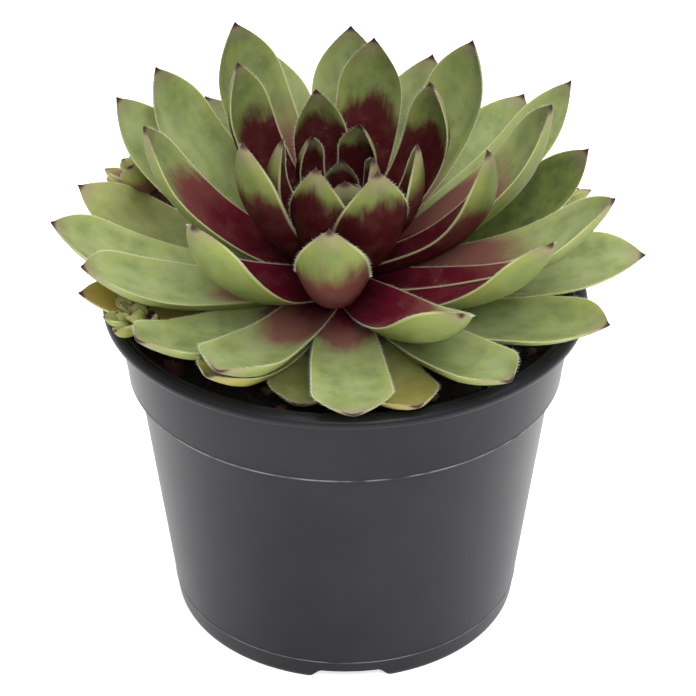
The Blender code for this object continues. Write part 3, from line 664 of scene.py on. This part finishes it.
class LeafBatch:
    """Gathers leaves into one mesh, with what their skin needs to know at each point."""

    def __init__(self, rows, around):
        self.rows = rows
        self.around = around
        self.points = []
        self.faces = []
        self.values = {title: [] for title in LEAF_VALUES}
        self.margins = []
        self.count = 0

    def add(self, place, form, tone):
        """Adds a leaf: place is its matrix, form its sizes, tone its colouring."""
        rows, around = self.rows, self.around
        along = (1 - (1 - np.arange(rows) / rows) ** TIP_CROWDING)[:, None]
        angle = 2 * math.pi * np.arange(around)[None, :] / around
        u, up = np.cos(angle), np.sin(angle)
        out = np.abs(u)
        blade = form["length"] - form["inset"]
        shares, line_x, line_z, slopes = middle_line(blade, math.radians(form["curl"]))
        seed = form["seed"]
        half = form["width"] / 2 * blade_width(along, form["shoulder"], form["foot_width"])
        dish = form["cup"] * 2 * half * (form["cup_at_foot"] + (1 - form["cup_at_foot"]) * along)
        thick = form["thickness"] * blade_thickness(along)
        y = half * u * (1 + SWAY * np.sin(7.0 * along + 2.1 * seed + 1.3 * np.sign(u)))
        ripple = RIPPLE * form["width"] * out ** 4 * np.sin(math.pi * along)
        ripple = ripple * np.sin(11.0 * along + 1.7 * seed + 2.0 * (u > 0))
        top = dish * out ** 2.32 + ripple - 0.12 * thick * np.clip((out - 0.8) / 0.2, 0, 1) ** 2
        body = thick * np.clip(1 - out ** 2.7, 0, 1) ** 0.8
        z = np.where(up >= -1e-9, top, top - body)
        roll_foot, roll_tip = form["roll"]
        roll = np.radians(roll_foot + (roll_tip - roll_foot) * along)
        turned_y = y * np.cos(roll) - z * np.sin(roll)
        turned_z = y * np.sin(roll) + z * np.cos(roll)
        slope = np.interp(along, shares, slopes)
        x = form["inset"] + np.interp(along, shares, line_x) - np.sin(slope) * turned_z
        z = np.interp(along, shares, line_z) + np.cos(slope) * turned_z
        grid = np.stack([x, turned_y, z], axis=2).reshape(-1, 3)
        tip = np.array([[form["inset"] + line_x[-1], 0.0, line_z[-1]]])
        local = np.concatenate([grid, tip])
        matrix = np.array(place)
        world = local @ matrix[:3, :3].T + matrix[:3, 3]
        first = self.count
        for i in range(rows - 1):
            low, high = first + i * around, first + (i + 1) * around
            for j in range(around):
                k = (j + 1) % around
                self.faces.append((low + j, low + k, high + k, high + j))
        last, point = first + (rows - 1) * around, first + rows * around
        self.faces.extend((last + j, last + (j + 1) % around, point) for j in range(around))
        self.faces.append(tuple(first + j for j in reversed(range(around))))
        self.count += len(world)
        self.points.append(world)

        under = np.clip(0.5 - 1.5 * up, 0, 1)
        reach = tone["flush"] * (1 - under) + tone["flush_under"] * under
        mauve, warm, shade, bloom = tone["mauve"], tone["warm"], tone["shade"], tone["bloom"]
        mark = min(1.0, blade / FULL_MARK_BLADE)
        self.keep("leaf_spot", (along, u, up), (1, 0, 0))
        self.keep("leaf_tone", (reach, mauve, warm), (tone["flush"], mauve, warm))
        self.keep("leaf_rim", ((1 - out) * half / MM, shade, (1 - along) * blade / MM), (0, shade, 0))
        self.keep("leaf_wax", (bloom, mark, 0), (bloom, mark, 0))
        self.keep("leaf_grain", (half / MM * u, along * blade / MM, 9.7 * seed + 2 * up),
                  (0, blade / MM, 9.7 * seed))
        rings = world[:-1].reshape(rows, around, 3)
        self.margins.append((rings[:, around // 2], rings[:, 0], blade))

    def keep(self, title, values, at_tip):
        """Keeps three values for every ring point, and the tip's own at the end."""
        rings = [np.broadcast_to(value, (self.rows, self.around)) for value in values]
        grid = np.stack(rings, axis=2).reshape(-1, 3)
        self.values[title].append(np.concatenate([grid, np.array([at_tip], dtype=float)]))

    def mesh(self, name):
        """Mesh of all the leaves with their values."""
        made = new_mesh(name, np.concatenate(self.points).tolist(), self.faces)
        for title, kept in self.values.items():
            layer = made.attributes.new(title, "FLOAT_VECTOR", "POINT")
            layer.data.foreach_set("vector", np.concatenate(kept).astype(np.float32).ravel())
        return made


def along_line(spots, reach, rows):
    """Rows of three numbers at some distances along a line."""
    return np.stack([np.interp(spots, reach, rows[:, i]) for i in range(3)], axis=1)


def unit(rows):
    """Rows of vectors, each made one long."""
    return rows / np.maximum(np.linalg.norm(rows, axis=1, keepdims=True), 1e-9)


# Hairs of the margins: how thick they are and how deep in the leaf they start. The offsets' hairs
# are shorter and stand wider apart.
HAIR_RADIUS = 0.045 * MM
HAIR_ROOT = 0.25 * MM
HAIR_SEED = 7
OFFSET_HAIR_LENGTH = 0.45 * MM
OFFSET_HAIR_SPACING = 0.6 * MM
OFFSET_HAIR_SEED = 11


def hair_mesh(name, margins, length, spacing, seed):
    """Needle hairs, closed and three-sided, along both margins of every leaf given."""
    chance = np.random.default_rng(seed)
    points, faces = [], []
    for left, right, blade in margins:
        for near, far in ((left, right), (right, left)):
            steps = np.linalg.norm(np.diff(near, axis=0), axis=1)
            reach = np.concatenate([[0], np.cumsum(steps)])
            spots = np.arange(0.18 * reach[-1], 0.97 * reach[-1], spacing)
            spots = spots + chance.uniform(-0.4, 0.4, len(spots)) * spacing
            root = along_line(spots, reach, near)
            across = unit(along_line(spots, reach, near - far))
            tangent = unit(along_line(spots, reach, np.gradient(near, axis=0)))
            lean = chance.uniform(0.1, 0.9, (len(spots), 1))
            aim = unit(across + lean * tangent + chance.normal(0, 0.18, (len(spots), 3)))
            shortening = min(1.0, blade / FULL_HAIR_BLADE)
            size = length * shortening * chance.uniform(0.5, 1.1, (len(spots), 1))
            square = unit(np.cross(aim, tangent))
            third = np.cross(aim, square)
            foot = root - HAIR_ROOT * across
            for i in range(len(spots)):
                base = len(points)
                for corner in range(3):
                    turn = 2 * math.pi * corner / 3
                    spoke = math.cos(turn) * square[i] + math.sin(turn) * third[i]
                    points.append(foot[i] + HAIR_RADIUS * spoke)
                points.append(root[i] + size[i] * aim[i])
                faces.extend(((base, base + 2, base + 1), (base, base + 1, base + 3),
                              (base + 1, base + 2, base + 3), (base + 2, base, base + 3)))
    return new_mesh(name, [tuple(point) for point in points], faces)


def leaf_turn(azimuth_deg, lift_deg):
    """Turn that points a leaf along +X outwards and up."""
    turn = Matrix.Rotation(math.radians(azimuth_deg), 4, "Z")
    return turn @ Matrix.Rotation(-math.radians(lift_deg), 4, "Y")


def rosette_leaves(batch):
    """Adds the grown rosette's leaves to a batch."""
    lean = Matrix.Translation(LEAN_PIVOT) @ Matrix.Rotation(math.radians(LEAN_DEG), 4, "X")
    for age in range(YOUNGEST, OLDEST + 1):
        turn, lift, longer, wider = DEPARTURES.get(age, ON_THE_RULE)
        azimuth = AGE_ZERO_AZIMUTH_DEG + GOLDEN_ANGLE_DEG * age + turn
        foot = by_age(age, GROWTH, column=4) * MM - LEAN_PIVOT.z
        place = lean @ Matrix.Translation((0, 0, foot))
        place = place @ leaf_turn(azimuth, by_age(age, GROWTH) + lift)
        form = {
            "length": (by_age(age, GROWTH, column=2) + longer) * MM,
            "width": (by_age(age, GROWTH, column=3) + wider) * MM,
            "thickness": by_age(age, THICKNESS) * MM,
            "cup": by_age(age, CUP, OWN_CUP),
            "cup_at_foot": CUP_AT_FOOT.get(age, 1.0),
            "curl": by_age(age, CURL, OWN_CURL),
            "roll": OWN_ROLL.get(age, (0, 0)),
            "shoulder": by_age(age, SHOULDER, OWN_SHOULDER),
            "foot_width": OWN_FOOT_WIDTH.get(age, FOOT_WIDTH),
            "inset": ROOT_INSET,
            "seed": age - YOUNGEST,
        }
        tone = {
            "flush": by_age(age, FLUSH, OWN_FLUSH),
            "flush_under": by_age(age, FLUSH_UNDER, OWN_FLUSH_UNDER),
            "mauve": by_age(age, MAUVE, OWN_MAUVE),
            "warm": by_age(age, WARM, OWN_WARM),
            "shade": by_age(age, SHADE, OWN_SHADE),
            "bloom": by_age(age, BLOOM, OWN_BLOOM),
        }
        batch.add(place, form, tone)


def skin_tree(node_name):
    """Search tree of a solid's surface, in pot-axis coordinates."""
    mesh = bmesh.new()
    mesh.from_mesh(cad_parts[node_name].data)
    mesh.transform(Matrix.Translation(-POT_AXIS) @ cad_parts[node_name].matrix_world)
    tree = BVHTree.FromBMesh(mesh)
    mesh.free()
    return tree


def offset_leaves(name, batch, neighbours):
    """Adds the leaves of a young rosette to a batch; one that would meet a neighbour isn't grown."""
    stem_place, centre, longest, count, first_deg, flush = OFFSETS[name]
    bend = Vector((stem_place[0] * MM, stem_place[1] * MM, OFFSET_STEM_BEND))
    heart = Vector(centre) * MM
    axis = heart - bend
    to_axis = axis.to_track_quat("Z", "Y").to_matrix().to_4x4()
    for i in range(count):
        share = i / (count - 1)
        length = longest * MM * (0.4 + 0.6 * share ** 0.8)
        form = {
            "length": length,
            "width": length * (0.5 - 0.08 * share),
            "thickness": (1.2 + 0.5 * share) * MM,
            "cup": 0.25,
            "cup_at_foot": 1.0,
            "curl": 40,
            "roll": (0, 0),
            "shoulder": 0.7,
            "foot_width": FOOT_WIDTH,
            "inset": OFFSET_STEM_RADIUS / 2,
            "seed": 70 + i + first_deg,
        }
        tone = {"flush": flush, "flush_under": 0.8 * flush, "mauve": 0.6, "warm": 0.1, "shade": 1.0,
                "bloom": 0.4}
        place = Matrix.Translation(heart + (1 - share) * MM * axis.normalized()) @ to_axis
        place = place @ leaf_turn(first_deg + GOLDEN_ANGLE_DEG * i, 82 - 58 * share ** 0.7)
        trial = LeafBatch(*TRIAL_DETAIL)
        trial.add(place, form, tone)
        tree = BVHTree.FromPolygons(np.concatenate(trial.points).tolist(), trial.faces)
        if not any(tree.overlap(other) for other in neighbours):
            batch.add(place, form, tone)
    return bend, heart, to_axis


# Turned forms.

def rounded(corners, radius, steps=5):
    """Profile with each inner corner rounded off."""
    corners = [Vector(corner) for corner in corners]
    profile = [corners[0]]
    for before, corner, after in zip(corners, corners[1:], corners[2:]):
        reach_in = min(radius, 0.45 * (before - corner).length)
        reach_out = min(radius, 0.45 * (after - corner).length)
        start = corner + (before - corner).normalized() * reach_in
        end = corner + (after - corner).normalized() * reach_out
        for i in range(steps + 1):
            share = i / steps
            profile.append((1 - share) ** 2 * start + 2 * share * (1 - share) * corner + share ** 2 * end)
    profile.append(corners[-1])
    return profile


def polar(radius, angle):
    """Place (x, y) at a distance and an angle from the axis."""
    return radius * math.cos(angle), radius * math.sin(angle)


def circle(radius, sides):
    """Points (x, y) round a circle."""
    return [polar(radius, 2 * math.pi * i / sides) for i in range(sides)]


def turned_faces(sides, rings):
    """Faces of a turned form: its points are one end on the axis, the rings, and the other end."""
    faces = []
    for i in range(sides):
        j = (i + 1) % sides
        faces.append((0, 1 + j, 1 + i))
        for ring in range(rings - 1):
            low, high = 1 + ring * sides, 1 + (ring + 1) * sides
            faces.append((low + i, low + j, high + j, high + i))
        last = 1 + (rings - 1) * sides
        faces.append((last + i, last + j, last + sides))
    return faces


def turned_mesh(name, profile, sides):
    """Mesh of revolution round Z from (radius, height) points whose two ends are on the axis."""
    points = [(0.0, 0.0, profile[0][1])]
    for radius, height in profile[1:-1]:
        points.extend((x, y, height) for x, y in circle(radius, sides))
    points.append((0.0, 0.0, profile[-1][1]))
    return new_mesh(name, points, turned_faces(sides, len(profile) - 2))


def rod_mesh(name, radius, low, high, sides):
    """Upright rod on the axis between two heights."""
    return turned_mesh(name, [(0, low), (radius, low), (radius, high), (0, high)], sides)


def collar_radius(height):
    """Outer radius of the collar at a height."""
    share = (height - COLLAR_FOOT) / (COLLAR_TOP - COLLAR_FOOT)
    return COLLAR_FOOT_RADIUS + share * (COLLAR_TOP_RADIUS - COLLAR_FOOT_RADIUS)


def body_radius(height):
    """Outer radius of the tapered body at a height."""
    return BASE_RADIUS + height / COLLAR_FOOT * (BODY_TOP_RADIUS - BASE_RADIUS)


def corners(radius, height, *steps):
    """Corners of a section, each some mm outwards and up from an edge of the pot."""
    return [(radius + out * MM, height + up * MM) for out, up in steps]


def on_body(height, out):
    """Corner of a section on the tapered body, some mm outwards from it."""
    return body_radius(height) + out * MM, height


def pot_profile():
    """Section of the pot: body, seam, collar with its edge bead, rolled lip, step and inside."""
    wall = WALL / MM
    shoulder = COLLAR_FOOT + 0.7 * MM
    outside = [
        (0.0, FLOOR_UNDERSIDE),
        on_body(FLOOR_UNDERSIDE, -1.3),
        *corners(BASE_RADIUS, 0.0, (-1.3, 0), (-0.2, 0)),
        on_body(0.9 * MM, -0.02),
        on_body(FOOT_SEAM - 0.2 * MM, -0.04),
        on_body(FOOT_SEAM, 0.12),
        on_body(FOOT_SEAM + 0.25 * MM, -0.02),
        *corners(BODY_TOP_RADIUS, COLLAR_FOOT, (-0.05, -0.7)),
        *corners(COLLAR_FOOT_RADIUS, COLLAR_FOOT, (-0.35, -0.35), (0.1, 0.02), (0.1, 0.3)),
        (collar_radius(shoulder) - 0.03 * MM, shoulder),
        *corners(COLLAR_TOP_RADIUS, COLLAR_TOP, (-0.05, -0.5), (0.15, -0.1)),
        *corners(RIM_RADIUS, COLLAR_TOP, (-1.2, 0), (-0.15, 0.5), (0, 1.5)),
        *corners(RIM_RADIUS, RIM_HEIGHT, (-0.5, -0.25), (-1.5, 0), (-2.1, -0.05), (-2.5, -0.45),
                 (-2.9, -0.35), (-3.4, -0.3), (-3.9, -0.9)),
        *corners(COLLAR_TOP_RADIUS - WALL, COLLAR_TOP, (-0.1, -0.8)),
        *corners(COLLAR_FOOT_RADIUS - WALL, COLLAR_FOOT, (0, 1.2)),
        *corners(BODY_TOP_RADIUS - WALL, COLLAR_FOOT, (0, -0.2)),
        on_body(FLOOR_TOP + 2 * MM, -wall),
        on_body(FLOOR_TOP, -wall - 1.6),
        (0.0, FLOOR_TOP),
    ]
    return rounded(outside, 0.35 * MM, 3)


# Half the outline of a foot notch, from its foot up: (half width, height) in mm.
NOTCH_HALF = ((9, -1), (9, 0.15), (8.4, 0.5), (7.0, 1.95), (6.3, 2.3))


def notch_cutter():
    """Flat arch with slanted sides, across the foot ring at +X."""
    inner, outer = BASE_RADIUS - 5 * MM, BASE_RADIUS + 3 * MM
    outline = [(-y, z) for y, z in NOTCH_HALF] + list(reversed(NOTCH_HALF))
    cutter = bmesh.new()
    near = [cutter.verts.new((inner, y * MM, z * MM)) for y, z in outline]
    far = [cutter.verts.new((outer, y * MM, z * MM)) for y, z in outline]
    cutter.faces.new(near)
    cutter.faces.new(far)
    for i in range(len(outline)):
        j = (i + 1) % len(outline)
        cutter.faces.new((near[i], near[j], far[j], far[i]))
    bmesh.ops.recalc_face_normals(cutter, faces=cutter.faces)
    made = bpy.data.meshes.new("notch_cutter")
    cutter.to_mesh(made)
    cutter.free()
    return made


def cut_mesh(mesh, cutters):
    """The mesh with cutters, given as (mesh, matrix), cut out of it."""
    whole = add_object("uncut", mesh)
    things = [whole]
    for data, matrix in cutters:
        cutter = add_object("cutter", data)
        cutter.matrix_world = matrix
        things.append(cutter)
        slot = whole.modifiers.new("cut", "BOOLEAN")
        slot.operation = "DIFFERENCE"
        slot.object = cutter
        slot.solver = "EXACT"
    graph = bpy.context.evaluated_depsgraph_get()
    made = bpy.data.meshes.new_from_object(whole.evaluated_get(graph))
    for thing in things:
        bpy.data.objects.remove(thing)
    return made


def soil_height(x, y):
    """Height of the soil's top at a place, with the solid's waves."""
    u, v = x / MM, y / MM
    lumps = math.sin(0.31 * u + 1.7) * math.cos(0.27 * v - 0.6) + 0.6 * math.sin(0.53 * v + 0.4 * u)
    return SOIL_LEVEL + SOIL_RELIEF * (0.55 * lumps + 0.35 * math.sin(0.83 * u - 0.71 * v))


# Soil body: it stands clear of the pot's inside, and its top falls away near the wall.
SOIL_FOOT = FLOOR_TOP + 0.3 * MM
SOIL_GAP = 0.4 * MM
SOIL_SHOULDER = 58 * MM
SOIL_NECK = (46.0 * MM, 61.5 * MM)
SOIL_FALL_RADIUS = 44 * MM


def soil_mesh(name, sides=150, rings=70):
    """Soil body with a crumbly top, inside the pot."""
    chamfer = SOIL_FOOT + 2 * MM
    walls = (
        (body_radius(SOIL_FOOT) - WALL - 2.1 * MM, SOIL_FOOT),
        (body_radius(chamfer) - WALL - SOIL_GAP, chamfer),
        (body_radius(SOIL_SHOULDER) - WALL - SOIL_GAP, SOIL_SHOULDER),
        SOIL_NECK,
    )
    points = [(0.0, 0.0, SOIL_FOOT)]
    for radius, height in walls:
        points.extend((x, y, height) for x, y in circle(radius, sides))
    for ring in range(rings):
        radius = SOIL_RADIUS * (1 - ring / rings)
        fall = 0.6 * max(0.0, (radius - SOIL_FALL_RADIUS) / (3 * MM))
        for x, y in circle(radius, sides):
            spot = Vector((x, y, 0.0)) / MM
            crumbs = noise.noise(spot * 0.9) * 0.55 + noise.noise(spot * 2.3) * 0.3
            points.append((x, y, soil_height(x, y) + (crumbs - fall) * MM))
    points.append((0.0, 0.0, soil_height(0.0, 0.0)))
    return new_mesh(name, points, turned_faces(sides, len(walls) + rings))


def lump_mesh(name, spots, subdivisions):
    """Rough lumps joined in one mesh: spots are (place, (size x, y, z), turn)."""
    made = bpy.data.meshes.new(name)
    joined = bmesh.new()
    for number, (place, size, turn) in enumerate(spots):
        lump = bmesh.new()
        bmesh.ops.create_icosphere(lump, subdivisions=subdivisions, radius=1.0)
        for vertex in lump.verts:
            rough = noise.noise(vertex.co * 1.6 + Vector((number * 3.1, 0.0, 0.0)))
            vertex.co *= 1 + 0.45 * rough
        lump.transform(Matrix.LocRotScale(place, turn.to_quaternion(), size))
        lump.to_mesh(made)
        lump.free()
        joined.from_mesh(made)
    joined.to_mesh(made)
    joined.free()
    return made


# Loose bits on the soil. Those listed here lie in the open at the front, in mm: bark (x, y,
# size, flatness) and straw (x, y, heading). The others lie at random in a ring round the rosette.
SOIL_SEED = 3
CRUMB_REACH = 46.0 * MM
FULL_TURN = 6.28
FRONT_BARK = [(-16, -30, 1.4, 1.0), (18, -30, 1.6, 1.0), (40, -12, 1.2, 0.7), (30, -24, 1.0, 0.8)]
BARK_RING = (26, 45)
MORE_BARK = 22
FRONT_STRAW = [(-24, -20, 0.4), (-21, -20, 1.1), (-22, -22, -0.5), (-25, -22, 2.2), (-19, -23, 0.9)]
STRAW_RING = (24, 44)
MORE_STRAW = 24


def ground(x, y, lift):
    """Place some way above the soil's top."""
    return Vector((x, y, soil_height(x, y) + lift))


def rotation(angle, axis):
    """Turn about an axis."""
    return Matrix.Rotation(angle, 3, axis)


def in_ring(chance, count, ring, *spans):
    """Random places (x, y) in a ring, each followed by a random value from every span."""
    spots = []
    for _ in range(count):
        angle = chance.uniform(0, 2 * math.pi)
        x, y = polar(chance.uniform(*ring), angle)
        spots.append((x, y, *(chance.uniform(*span) for span in spans)))
    return spots


def crumb_spots(chance, count):
    """Loose crumbs all over the soil."""
    spots = []
    for _ in range(count):
        radius = CRUMB_REACH * chance.uniform(0.3, 1.0) ** 0.5
        x, y = polar(radius, chance.uniform(0, 2 * math.pi))
        size = chance.uniform(0.4, 1.2) * MM
        sizes = Vector((size, size * chance.uniform(0.6, 1.0), size * chance.uniform(0.5, 0.9)))
        spots.append((ground(x, y, 0.3 * size), sizes, rotation(chance.uniform(0, FULL_TURN), "Z")))
    return spots


def bark_spots(chance):
    """Flat bits of bark, a little tilted."""
    spots = []
    for x, y, size, flat in FRONT_BARK + in_ring(chance, MORE_BARK, BARK_RING, (0.8, 1.7), (0.5, 0.9)):
        turn = rotation(chance.uniform(0, FULL_TURN), "Z") @ rotation(chance.uniform(-0.5, 0.5), "X")
        sizes = Vector((size, 0.75 * size, 0.6 * flat * size)) * MM
        spots.append((ground(x * MM, y * MM, 0.5 * size * MM), sizes, turn))
    return spots


def straw_spots(chance):
    """Thin bits of straw, a little tilted."""
    spots = []
    for x, y, heading in FRONT_STRAW + in_ring(chance, MORE_STRAW, STRAW_RING, (0, FULL_TURN)):
        sizes = Vector((chance.uniform(1.2, 3.4), 0.18, 0.12)) * MM
        turn = rotation(heading, "Z") @ rotation(chance.uniform(-0.35, 0.35), "Y")
        spots.append((ground(x * MM, y * MM, 0.7 * MM), sizes, turn))
    return spots


def shared_leaf_skin(context):
    """The leaf skin, made once for every rosette."""
    made = bpy.data.materials.get("waxy_leaf_skin")
    return made or leaf_skin(plain(context.scene.houseleek_leaves))


class HOUSELEEK_OT_rosette(Operator):
    """Make the grown rosette's leaves and the hairs on their margins"""

    bl_idname = "houseleek.rosette"
    bl_label = "Main rosette"

    def execute(self, context):
        look = context.scene.houseleek_leaves
        batch = LeafBatch(look.rows, look.around)
        rosette_leaves(batch)
        mesh = batch.mesh("rosette_leaves")
        stem = [(share * STEM_RADIUS, height * MM) for share, height in STEM]
        join(mesh, turned_mesh("stem", stem, STEM_SIDES))
        place_object("rosette_leaves", mesh, shared_leaf_skin(context), "main_rosette")
        hairs = hair_mesh("rosette_margin_hairs", batch.margins, look.hair_length, look.hair_spacing,
                          HAIR_SEED)
        place_object("rosette_margin_hairs", hairs, hair_skin())
        return {"FINISHED"}


class HOUSELEEK_OT_offsets(Operator):
    """Make the three young rosettes and the hairs on their margins"""

    bl_idname = "houseleek.offsets"
    bl_label = "Offsets"

    def execute(self, context):
        neighbours = [skin_tree("pot"), skin_tree("main_rosette")]
        margins = []
        for name in OFFSETS:
            batch = LeafBatch(*OFFSET_DETAIL)
            bend, heart, to_axis = offset_leaves(name, batch, neighbours)
            mesh = batch.mesh(name + "_leaves")
            radius = OFFSET_STEM_RADIUS
            stem = rod_mesh("stem", radius, OFFSET_STEM_FOOT, OFFSET_STEM_BEND + MM, OFFSET_STEM_SIDES)
            stem.transform(Matrix.Translation((bend.x, bend.y, 0.0)))
            reach = (heart - bend).length + 1.6 * MM
            neck = turned_mesh("neck", [(0, -MM), (radius, -MM), (radius, reach - MM), (0, reach)],
                               OFFSET_STEM_SIDES)
            neck.transform(Matrix.Translation(bend) @ to_axis)
            join(mesh, stem, neck)
            place_object(name + "_leaves", mesh, shared_leaf_skin(context), name)
            margins.extend(batch.margins)
        hairs = hair_mesh("offset_margin_hairs", margins, OFFSET_HAIR_LENGTH, OFFSET_HAIR_SPACING,
                          OFFSET_HAIR_SEED)
        place_object("offset_margin_hairs", hairs, bpy.data.materials["margin_hair"])
        return {"FINISHED"}


class HOUSELEEK_OT_pot(Operator):
    """Make the moulded pot with its rolled lip, collar, drain holes and foot notches"""

    bl_idname = "houseleek.pot"
    bl_label = "Pot"

    def execute(self, context):
        look = context.scene.houseleek_pot
        shell = turned_mesh("nursery_pot", pot_profile(), look.sides)
        hole = rod_mesh("hole", DRAIN_HOLE_RADIUS, 0, 8 * MM, 32)
        cutters = [(hole, Matrix.Identity(4))]
        for i in range(DRAIN_HOLES):
            turn = Matrix.Rotation(2 * math.pi * (i + 0.5) / DRAIN_HOLES, 4, "Z")
            cutters.append((hole, turn @ Matrix.Translation((DRAIN_RING_RADIUS, 0, 0))))
        for i in range(NOTCHES):
            turn = Matrix.Rotation(math.radians(FIRST_NOTCH_DEG) + 2 * math.pi * i / NOTCHES, 4, "Z")
            cutters.append((notch_cutter(), turn))
        pot = place_object("nursery_pot", cut_mesh(shell, cutters), pot_skin(plain(look)),
                           "pot")
        pot.data.set_sharp_from_angle(angle=math.radians(SHARP_EDGE_DEG))
        return {"FINISHED"}


class HOUSELEEK_OT_soil(Operator):
    """Make the soil with its crumbs, bark bits and straw"""

    bl_idname = "houseleek.soil"
    bl_label = "Soil"

    def execute(self, context):
        look = context.scene.houseleek_soil
        peat, bark = tuple(look.peat), tuple(look.bark)
        soil = crumb_skin("potting_soil_crumbs", stronger(peat, 0.5), peat, 900.0, 0.95)
        place_object("potting_soil", soil_mesh("potting_soil"), soil, "soil")
        chance = np.random.default_rng(SOIL_SEED)
        crumbs = lump_mesh("soil_crumbs", crumb_spots(chance, look.granules), 2)
        place_object("soil_crumbs", crumbs, soil)
        chips = lump_mesh("bark_bits", bark_spots(chance), 3)
        chip_skin = crumb_skin("bark_bits", stronger(bark, 0.35), bark, 500.0, 0.8)
        place_object("bark_bits", chips, chip_skin)
        straws = lump_mesh("straw_bits", straw_spots(chance), 2)
        straw_skin = crumb_skin("straw", (0.12, 0.075, 0.035), (0.33, 0.24, 0.12), 700.0, 0.7)
        place_object("straw_bits", straws, straw_skin)
        return {"FINISHED"}


def lit_world(look):
    """Soft light all round, weaker from the front."""
    world = bpy.data.worlds.new("studio")
    world.use_nodes = True
    tree = world.node_tree
    way = node(tree, "ShaderNodeTexCoord", {}).outputs["Generated"]
    behind = parts(tree, way)[1]
    strength = ramp(tree, behind, -0.7, 0.4, look.front * look.fill, look.fill)
    set_inputs(tree, tree.nodes["Background"], {"Color": WHITE, "Strength": strength})
    return world


def white_floor(look):
    """Wide white floor just under the pot."""
    square = [(-FLOOR_HALF, -FLOOR_HALF, 0), (FLOOR_HALF, -FLOOR_HALF, 0), (FLOOR_HALF, FLOOR_HALF, 0),
              (-FLOOR_HALF, FLOOR_HALF, 0)]
    mesh = new_mesh("floor", square, [(0, 1, 2, 3)])
    surface, tree, shader = new_material("white_floor")
    set_inputs(tree, shader, {
        "Base Color": (*look.floor, 1.0),
        "Emission Color": WHITE,
        "Emission Strength": look.floor_glow,
        "Roughness": 0.9,
        "Specular IOR Level": 0.0,
    })
    mesh.materials.append(surface)
    floor = add_object("floor", mesh)
    floor.location.z = -FLOOR_DROP


def add_softbox(name, place, size, power):
    """Square soft light that shines at the plant."""
    light = bpy.data.lights.new(name, "AREA")
    light.shape = "SQUARE"
    light.size = size
    light.energy = power
    lamp = add_object(name, light)
    lamp.location = place
    lamp.rotation_euler = (LIT_POINT - lamp.location).to_track_quat("-Z", "Y").to_euler()


def front_camera():
    """Camera at the front, looking down at the plant."""
    lens = bpy.data.cameras.new("front_camera")
    lens.lens = LENS
    lens.sensor_width = SENSOR
    lens.clip_start = NEAREST_SEEN
    camera = add_object("front_camera", lens)
    tilt = math.radians(VIEW_ELEVATION_DEG)
    back = Vector((0.0, -math.cos(tilt), math.sin(tilt))) * VIEW_DISTANCE
    camera.location = VIEW_CENTRE + back
    camera.rotation_euler = (math.pi / 2 - tilt, 0.0, 0.0)
    return camera


class HOUSELEEK_OT_stage(Operator):
    """Make the white floor, the soft lights and the camera"""

    bl_idname = "houseleek.stage"
    bl_label = "Stage"

    def execute(self, context):
        look = context.scene.houseleek_stage
        scene = context.scene
        scene.view_settings.view_transform = "Standard"
        scene.world = lit_world(look)
        white_floor(look)
        for name, place, size, share in SOFTBOXES:
            add_softbox(name, place, size, share * look.key)
        scene.camera = front_camera()
        return {"FINISHED"}


class HOUSELEEK_PT_pieces(Panel):
    bl_label = "Potted Houseleek"
    bl_idname = "HOUSELEEK_PT_pieces"
    bl_space_type = "VIEW_3D"
    bl_region_type = "UI"
    bl_category = "Houseleek"

    def draw(self, context):
        layout = self.layout
        for look, (_, *operators) in GROUPS.items():
            group = getattr(context.scene, look)
            box = layout.box()
            for name in group.__annotations__:
                box.prop(group, name)
            for operator in operators:
                box.operator(operator)


# Settings in the scene: each with its property group and its operators.
GROUPS = {
    "houseleek_stage": (HouseleekStage, "houseleek.stage"),
    "houseleek_pot": (HouseleekPot, "houseleek.pot"),
    "houseleek_soil": (HouseleekSoil, "houseleek.soil"),
    "houseleek_leaves": (HouseleekLeaves, "houseleek.rosette", "houseleek.offsets"),
}
CLASSES = (
    HouseleekStage,
    HouseleekPot,
    HouseleekSoil,
    HouseleekLeaves,
    HOUSELEEK_OT_stage,
    HOUSELEEK_OT_pot,
    HOUSELEEK_OT_soil,
    HOUSELEEK_OT_rosette,
    HOUSELEEK_OT_offsets,
    HOUSELEEK_PT_pieces,
)


def register():
    for kind in CLASSES:
        bpy.utils.register_class(kind)
    for name, (kind, *_) in GROUPS.items():
        setattr(bpy.types.Scene, name, PointerProperty(type=kind))


def unregister():
    for name in GROUPS:
        delattr(bpy.types.Scene, name)
    for kind in reversed(CLASSES):
        bpy.utils.unregister_class(kind)


def main():
    register()
    bpy.ops.houseleek.stage()
    bpy.ops.houseleek.pot()
    bpy.ops.houseleek.soil()
    bpy.ops.houseleek.rosette()
    bpy.ops.houseleek.offsets()


if __name__ == "__main__":
    main()
